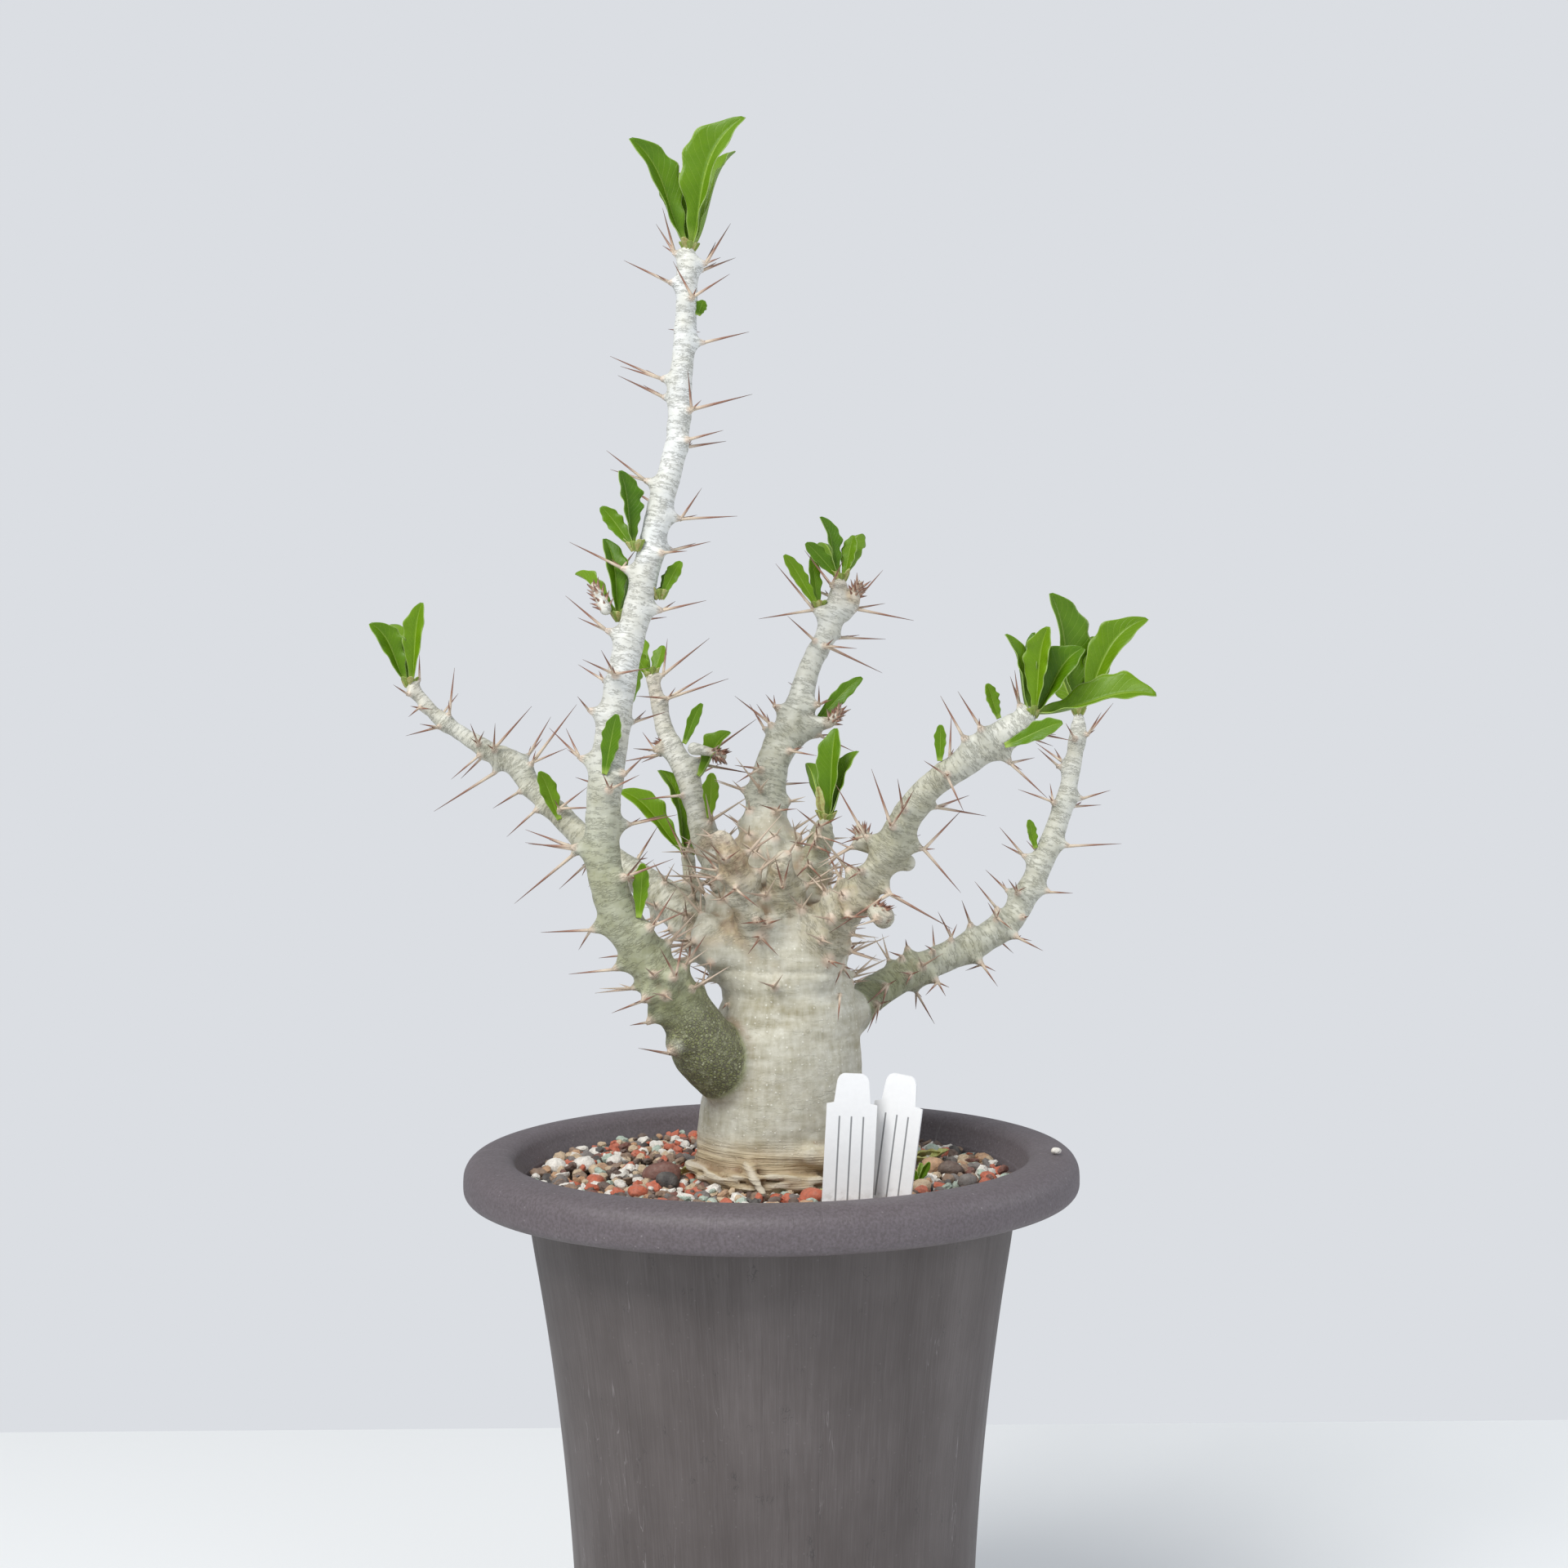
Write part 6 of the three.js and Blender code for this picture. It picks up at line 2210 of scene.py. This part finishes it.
@dataclass
class Blade:
    """One wavy leaf blade, from its root to its tip."""

    base: np.ndarray
    reach: np.ndarray
    face: np.ndarray
    arched: np.ndarray
    width: float
    bend: float
    waves: float
    seed: float
    fold: float = 0.3
    dry: float = 0.0

    STALK = 0.8
    ARCH = 0.1
    NARROW = 7.0

    def __post_init__(self) -> None:
        """Finds the direction across the blade."""
        self.side = np.cross(normalised(self.reach), self.face)

    def fold_at(self, share: float) -> float:
        """Returns how far each half is folded up from flat, in radians."""
        return self.fold * (1.35 - 0.6 * share)

    def half_width(self, share: float) -> float:
        """Returns half the blade's width at a share of its length.

        Args:
            share: Share of the length, from the root.

        Returns:
            Half the width.
        """
        swell = math.sin(math.pi * min(share ** 1.5 * 0.98 + 0.01, 1.0)) ** 0.75
        depth = 0.08 if self.width < self.NARROW else 0.035
        wavy = 1.0 + depth * math.sin(2 * math.pi * (share * (self.waves + 2.2) + self.seed))
        return self.STALK * (1.0 - 0.5 * share) + swell * (self.width / 2 - 0.4) * wavy

    def point(self, share: float, across: float) -> np.ndarray:
        """Returns the middle surface's place.

        Args:
            share: Share of the length, from the root.
            across: Place across the blade, -1 to 1.

        Returns:
            The place.
        """
        half = self.half_width(share)
        wave = math.sin(math.pi * (2 * self.waves * share + 0.5 * (across + 1)))
        crimp = math.sin(2 * math.pi * (share * (1.1 * self.waves + 1.2) + self.seed + 0.3 * across))
        swell = math.sin(math.pi * share)
        fold = self.fold_at(share)
        lift = abs(across) * half * math.sin(fold) - self.bend * 2 * share * (1 - share)
        lift += self.width * swell * across * across * (0.05 * wave + 0.045 * crimp * abs(across) ** 2)
        wide = across * half * (math.cos(fold) + 0.05 * crimp * swell * abs(across) ** 3)
        place = self.base + self.reach * share + self.arched * (6.75 * share * share * (1 - share))
        return place + self.side * wide + self.face * lift

    def normal(self, share: float, across: float) -> np.ndarray:
        """Returns the direction out of the upper side."""
        fold = self.fold_at(share) * max(-1.0, min(1.0, across * 4))
        return self.face * math.cos(fold) - self.side * math.sin(fold)


@dataclass
class Foliage:
    """All leaves, a piece for each tuft or single leaf."""

    growth: Growth
    effects: Effects
    rows: int = 34
    columns: int = 12
    thickness: float = 0.5
    bud: float = 2.3
    gap: float = 0.3
    fold: float = 0.62
    broad: float = 1.1
    slim: float = 0.96
    scales: int = 9

    def _root(self, plan: Tuft) -> np.ndarray:
        """Returns where a node's leaves grow.

        Args:
            plan: The node's plan.

        Returns:
            The place.
        """
        line = self.growth.lines[plan.line]
        if plan.height is None:
            tip = line.frame(1.0)
            return tip.place + tip.along * self.bud * 0.6
        near = line.frame(line.share_at_height(plan.height))
        angle = math.radians(plan.turn)
        out = near.back * math.cos(angle) + near.side * math.sin(angle)
        reach = near.radius + (self.bud * 0.6 if len(plan.blades) > 1 else 2 * self.gap)
        return near.place + out * reach + near.along * 1.5

    def _blade(self, plan: Tuft, root: np.ndarray, row: tuple, seed: float) -> Blade:
        """Lays one blade from the root to its drawn tip.

        Args:
            plan: The node's plan.
            root: Where the leaves grow.
            row: Tip, width, roll, bend and waves.
            seed: Shifts the waves.

        Returns:
            The blade.
        """
        (x, depth, z), width, roll, bend, waves = row
        tip = at_depth((x, root[1] + depth, z))
        outward = normalised((tip - root) * (1, 1, 0))
        base = root + outward * (self.bud / 2 if len(plan.blades) > 1 else 0.0)
        reach = tip - base
        along = normalised(reach)
        face = normalised(np.array([0.0, -1.0, 0.0]) + along * along[1])
        inward = np.array([root[0] - tip[0], 0.0, 0.9 * abs(root[0] - tip[0]) + 2.0])
        keel = 1.0 if np.cross(along, face) @ inward > 0 else -1.0
        narrow = width < Blade.NARROW
        fold = 0.3 if narrow else self.fold
        if abs(roll) < 60:
            roll = keel * (math.degrees(fold) * 1.05 + 0.35 * keel * roll)
        face = turned(face, along, math.radians(roll))
        width *= self.slim if narrow else self.broad
        rise = np.array([0.0, 0.0, 1.0]) - along * along[2]
        tilt = float(np.linalg.norm(rise))
        bow = Blade.ARCH * (0.3 if narrow else 1.0)
        arched = normalised(rise) * bow * float(np.linalg.norm(reach)) * min(1.0, 3 * tilt)
        return Blade(base, reach, face, arched, width, bend, waves, seed, fold)

    def _shell(self, blade: Blade) -> tuple[list, list, list, list]:
        """Makes a blade's closed shell.

        Args:
            blade: The blade.

        Returns:
            Points, faces, (across, length) of each point, and whether each point is underneath.
        """
        points, flat, under = [], [], []
        for side in (0.5, -0.5):
            for row in range(self.rows + 1):
                share = row / self.rows
                for column in range(self.columns + 1):
                    across = 2 * column / self.columns - 1
                    thick = self.thickness * (1 - 0.55 * across * across)
                    out = blade.normal(share, across)
                    place = blade.point(share, across) + out * side * thick
                    if side < 0:
                        place -= blade.face * 0.5 * (1 - share) * math.exp(-((across / 0.13) ** 2))
                    points.append(place)
                    flat.append(((across + 1) / 2, share))
                    under.append(0.0 if side > 0 else 1.0)
        return points, sheet_faces(self.rows + 1, self.columns), flat, under

    def _bud(self, root: np.ndarray, seed: int) -> list[Blade]:
        """Gives short pointed scales round a tuft's root.

        Args:
            root: Where the leaves grow.
            seed: Turns the scales.

        Returns:
            The scales, as small blades.
        """
        scales = []
        for index in range(self.scales):
            turn = index * GOLDEN_TURN + seed
            out = np.array([math.cos(turn), math.sin(turn), 1.1 + 0.5 * unit_hash(index, seed)])
            reach = normalised(out) * (3.2 + 2.2 * unit_hash(index, seed + 3))
            along = normalised(reach)
            face = normalised(np.array([0.0, 0.0, 1.0]) - along * along[2])
            base = root - np.array([0, 0, 1.6]) + np.array([math.cos(turn), math.sin(turn), 0]) * 0.9
            dry = 0.35 + 0.6 * (index % 2)
            scales.append(Blade(base, reach, face, np.zeros(3), 2.6, 0.3, 0.5, 0.2, 0.4, dry))
        return scales

    def build(self) -> None:
        """Makes and dresses every leaf node."""
        material = LeafFinish().build(self.effects)
        for number, (name, planned) in enumerate(LEAVES.items()):
            plan = Tuft(*planned)
            root = self._root(plan)
            blades = [self._blade(plan, root, row, unit_hash(index, number))
                      for index, row in enumerate(plan.blades)]
            if len(blades) > 1:
                blades += self._bud(root, number)
            self._piece(name, blades, number, material)
        self._litter(material)

    def _litter(self, material: Material) -> None:
        """Lays dried scraps and a seedling on the gravel, and a dried leaf on the crown.

        Args:
            material: The leaves' material.
        """
        blades = []
        for number, (base, tip, width, dry) in enumerate(LITTER):
            reach = np.array(tip, float) - base
            along = normalised(reach)
            upward = 0.0 if abs(along[2]) > 0.8 else 1.0
            face = normalised(np.cross(np.cross(along, (0.1, -1.0 + upward, upward)), along))
            shift = unit_hash(number, 12)
            foot = np.array(base, float)
            blades.append(Blade(foot, reach, face, np.zeros(3), width, 0.5, 1.0, shift, 0.6, dry))
        self._piece("litter", blades, 77, material)

    def _piece(self, name: str, blades: list[Blade], number: int, material: Material) -> None:
        """Joins the blades of one node in one piece.

        Args:
            name: The node's name.
            blades: Its blades.
            number: The node's number.
            material: The leaves' material.
        """
        points, faces, flat, under, tone, dry = [], [], [], [], [], []
        for index, blade in enumerate(blades):
            shell, rings, places, below = self._shell(blade)
            start = len(points)
            points += shell
            faces += [tuple(start + corner for corner in face) for face in rings]
            flat += places
            under += below
            tone += [unit_hash(index, number + 51)] * len(shell)
            dry += [blade.dry] * len(shell)
        piece = make_piece(name + "_blades", np.array(points), faces)
        outward(piece)
        layer = piece.data.uv_layers.new(name="blade")
        corners = np.zeros(len(piece.data.loops), np.int32)
        piece.data.loops.foreach_get("vertex_index", corners)
        layer.data.foreach_set("uv", np.array(flat, np.float32)[corners].ravel())
        for key, rows in (("under", under), ("tone", tone), ("dry", dry)):
            store(piece, key, np.array(rows))
        settle(piece, [name] if name in LEAVES else (), material)


# Tags and studio


@dataclass
class Tags:
    """Two thin white writing tags with plain ruled lines."""

    effects: Effects
    width: float = 16.0
    thickness: float = 1.0
    columns: int = 16
    rows: int = 60

    def _half(self, height: float, shoulder: float, top: float, buried: float) -> float:
        """Returns half the tag's width at a height above the gravel.

        Args:
            height: The height.
            shoulder: Height where the tag narrows.
            top: Height of its top.
            buried: How deep its foot is.

        Returns:
            Half the width.
        """
        half = self.width / 2
        if height < 9 - buried:
            return half * max(height + buried, 0.02) / 9
        if height > shoulder:
            neck = half - 2.2 - (height - shoulder) / (top - shoulder)
            rounded = max(height - (top - 2.6), 0.0) / 2.6
            return neck - 2.2 * (1 - math.sqrt(max(1 - rounded * rounded, 0.0)))
        return half

    def build(self) -> None:
        """Makes and dresses both tags."""
        material = TagFinish().build(self.effects)
        for name, (foot, lean, turn, shoulder, top, buried) in TAGS.items():
            edges = {shoulder - 0.01, shoulder + 0.5, top - 0.1, top - 0.6}
            heights = sorted(edges.union(np.linspace(-buried, top, self.rows).tolist()))
            points, sheet, foot_share = [], [], []
            for side in (-0.5, 0.5):
                for height in heights:
                    half = self._half(height, shoulder, top, buried)
                    for column in range(self.columns + 1):
                        share = 2 * column / self.columns - 1
                        x, y = share * half, side * self.thickness
                        sheet.append((x, y, height))
                        x, z = spun(x, height, -math.radians(lean))
                        x, y = spun(x, y, math.radians(turn))
                        points.append((foot[0] + x, foot[1] + y, foot[2] + z))
                        foot_share.append(max(0.0, 1 - height / 7.0) if height > -4 else 1.0)
            faces = sheet_faces(len(heights), self.columns)
            tag = make_piece(name + "_plate", np.array(points), faces, smooth=False)
            store(tag, "sheet", np.array(sheet))
            store(tag, "foot", np.array(foot_share))
            edge = tag.modifiers.new("soft_edge", "BEVEL")
            edge.width, edge.segments = 0.18 * MM, 2
            edge.limit_method, edge.angle_limit = "ANGLE", math.radians(50)
            settle(tag, [name], material)


@dataclass
class Studio:
    """Pale floor, soft light and the camera at the picture's angle."""

    lens: float = 45.94
    roll: float = 0.008
    eye: tuple[float, float, float] = (0.0053, -0.69, 0.351)
    aim: tuple[float, float, float] = (0.0, 0.0, 0.33)

    # Name, place, edge, power and colour of each light
    lights = (
        ("key", (-0.75, -1.05, 1.65), 0.8, 31.0, colour(255, 253, 249)),
        ("fill", (1.0, -1.4, 0.7), 1.2, 4.0, colour(240, 246, 255)),
        ("side", (1.3, 0.15, 0.8), 0.9, 4.5, colour(250, 252, 255)),
    )

    def build(self, effects: Effects) -> None:
        """Makes the floor, the lights, the sky and the camera.

        Args:
            effects: The shared shader groups.
        """
        corners = [(-1500, -1500, -0.4), (1500, -1500, -0.4), (1500, 405, -0.4), (-1500, 405, -0.4)]
        floor = make_piece("floor", np.array(corners), [(0, 1, 2, 3)], smooth=False)
        floor.data.materials.append(FloorFinish().build(effects))
        self._sky()
        for light in self.lights:
            self._light(*light)
        camera = placed("camera", bpy.data.cameras.new("camera"))
        camera.data.sensor_width, camera.data.lens = 36.0, self.lens
        camera.data.clip_start, camera.data.clip_end = 0.01, 20.0
        camera.location = self.eye
        camera.rotation_euler = (math.pi / 2, self.roll, 0.0)
        bpy.context.scene.camera = camera

    @staticmethod
    def _sky() -> None:
        """Lights the scene from all round with a plain pale grey."""
        world = bpy.data.worlds.new("studio")
        world.use_nodes = True
        tree = world.node_tree
        seen = tree.nodes["Background"]
        lit, mixed = tree.nodes.new("ShaderNodeBackground"), tree.nodes.new("ShaderNodeMixShader")
        seen.inputs["Color"].default_value = (*colour(219, 222, 227), 1.0)
        lit.inputs["Color"].default_value = (*colour(222, 226, 232), 1.0)
        lit.inputs["Strength"].default_value = 0.62
        path = tree.nodes.new("ShaderNodeLightPath")
        tree.links.new(path.outputs["Is Camera Ray"], mixed.inputs[0])
        tree.links.new(lit.outputs[0], mixed.inputs[1])
        tree.links.new(seen.outputs[0], mixed.inputs[2])
        tree.links.new(mixed.outputs[0], tree.nodes["World Output"].inputs["Surface"])
        bpy.context.scene.world = world
        bpy.context.scene.view_settings.view_transform = "Standard"

    def _light(self, name: str, place: Numbers, size: float, power: float, shade: Colour) -> None:
        """Hangs a soft square light that faces the plant.

        Args:
            name: The light's name.
            place: Its place in metres.
            size: Length of its edge.
            power: Its power in watts.
            shade: Its colour.
        """
        data = bpy.data.lights.new(name, "AREA")
        data.shape, data.size, data.energy, data.color = "SQUARE", size, power, shade
        lamp = placed(name, data)
        lamp.location = place
        aim = Vector(self.aim) - Vector(place)
        lamp.rotation_euler = aim.to_track_quat("-Z", "Y").to_euler()


def main() -> None:
    """Builds every sub-assembly in order."""
    logging.basicConfig(level=logging.INFO, format="%(name)s: %(message)s")
    effects, repeats = Effects(), Repeats()
    Studio().build(effects)
    Planter(effects).build()
    Gravel(effects, repeats).build()
    growth = Growth()
    Wood(growth, effects).build()
    Needles(growth, effects, repeats).build()
    Foliage(growth, effects).build()
    Tags(effects).build()


if __name__ == "__main__":
    main()
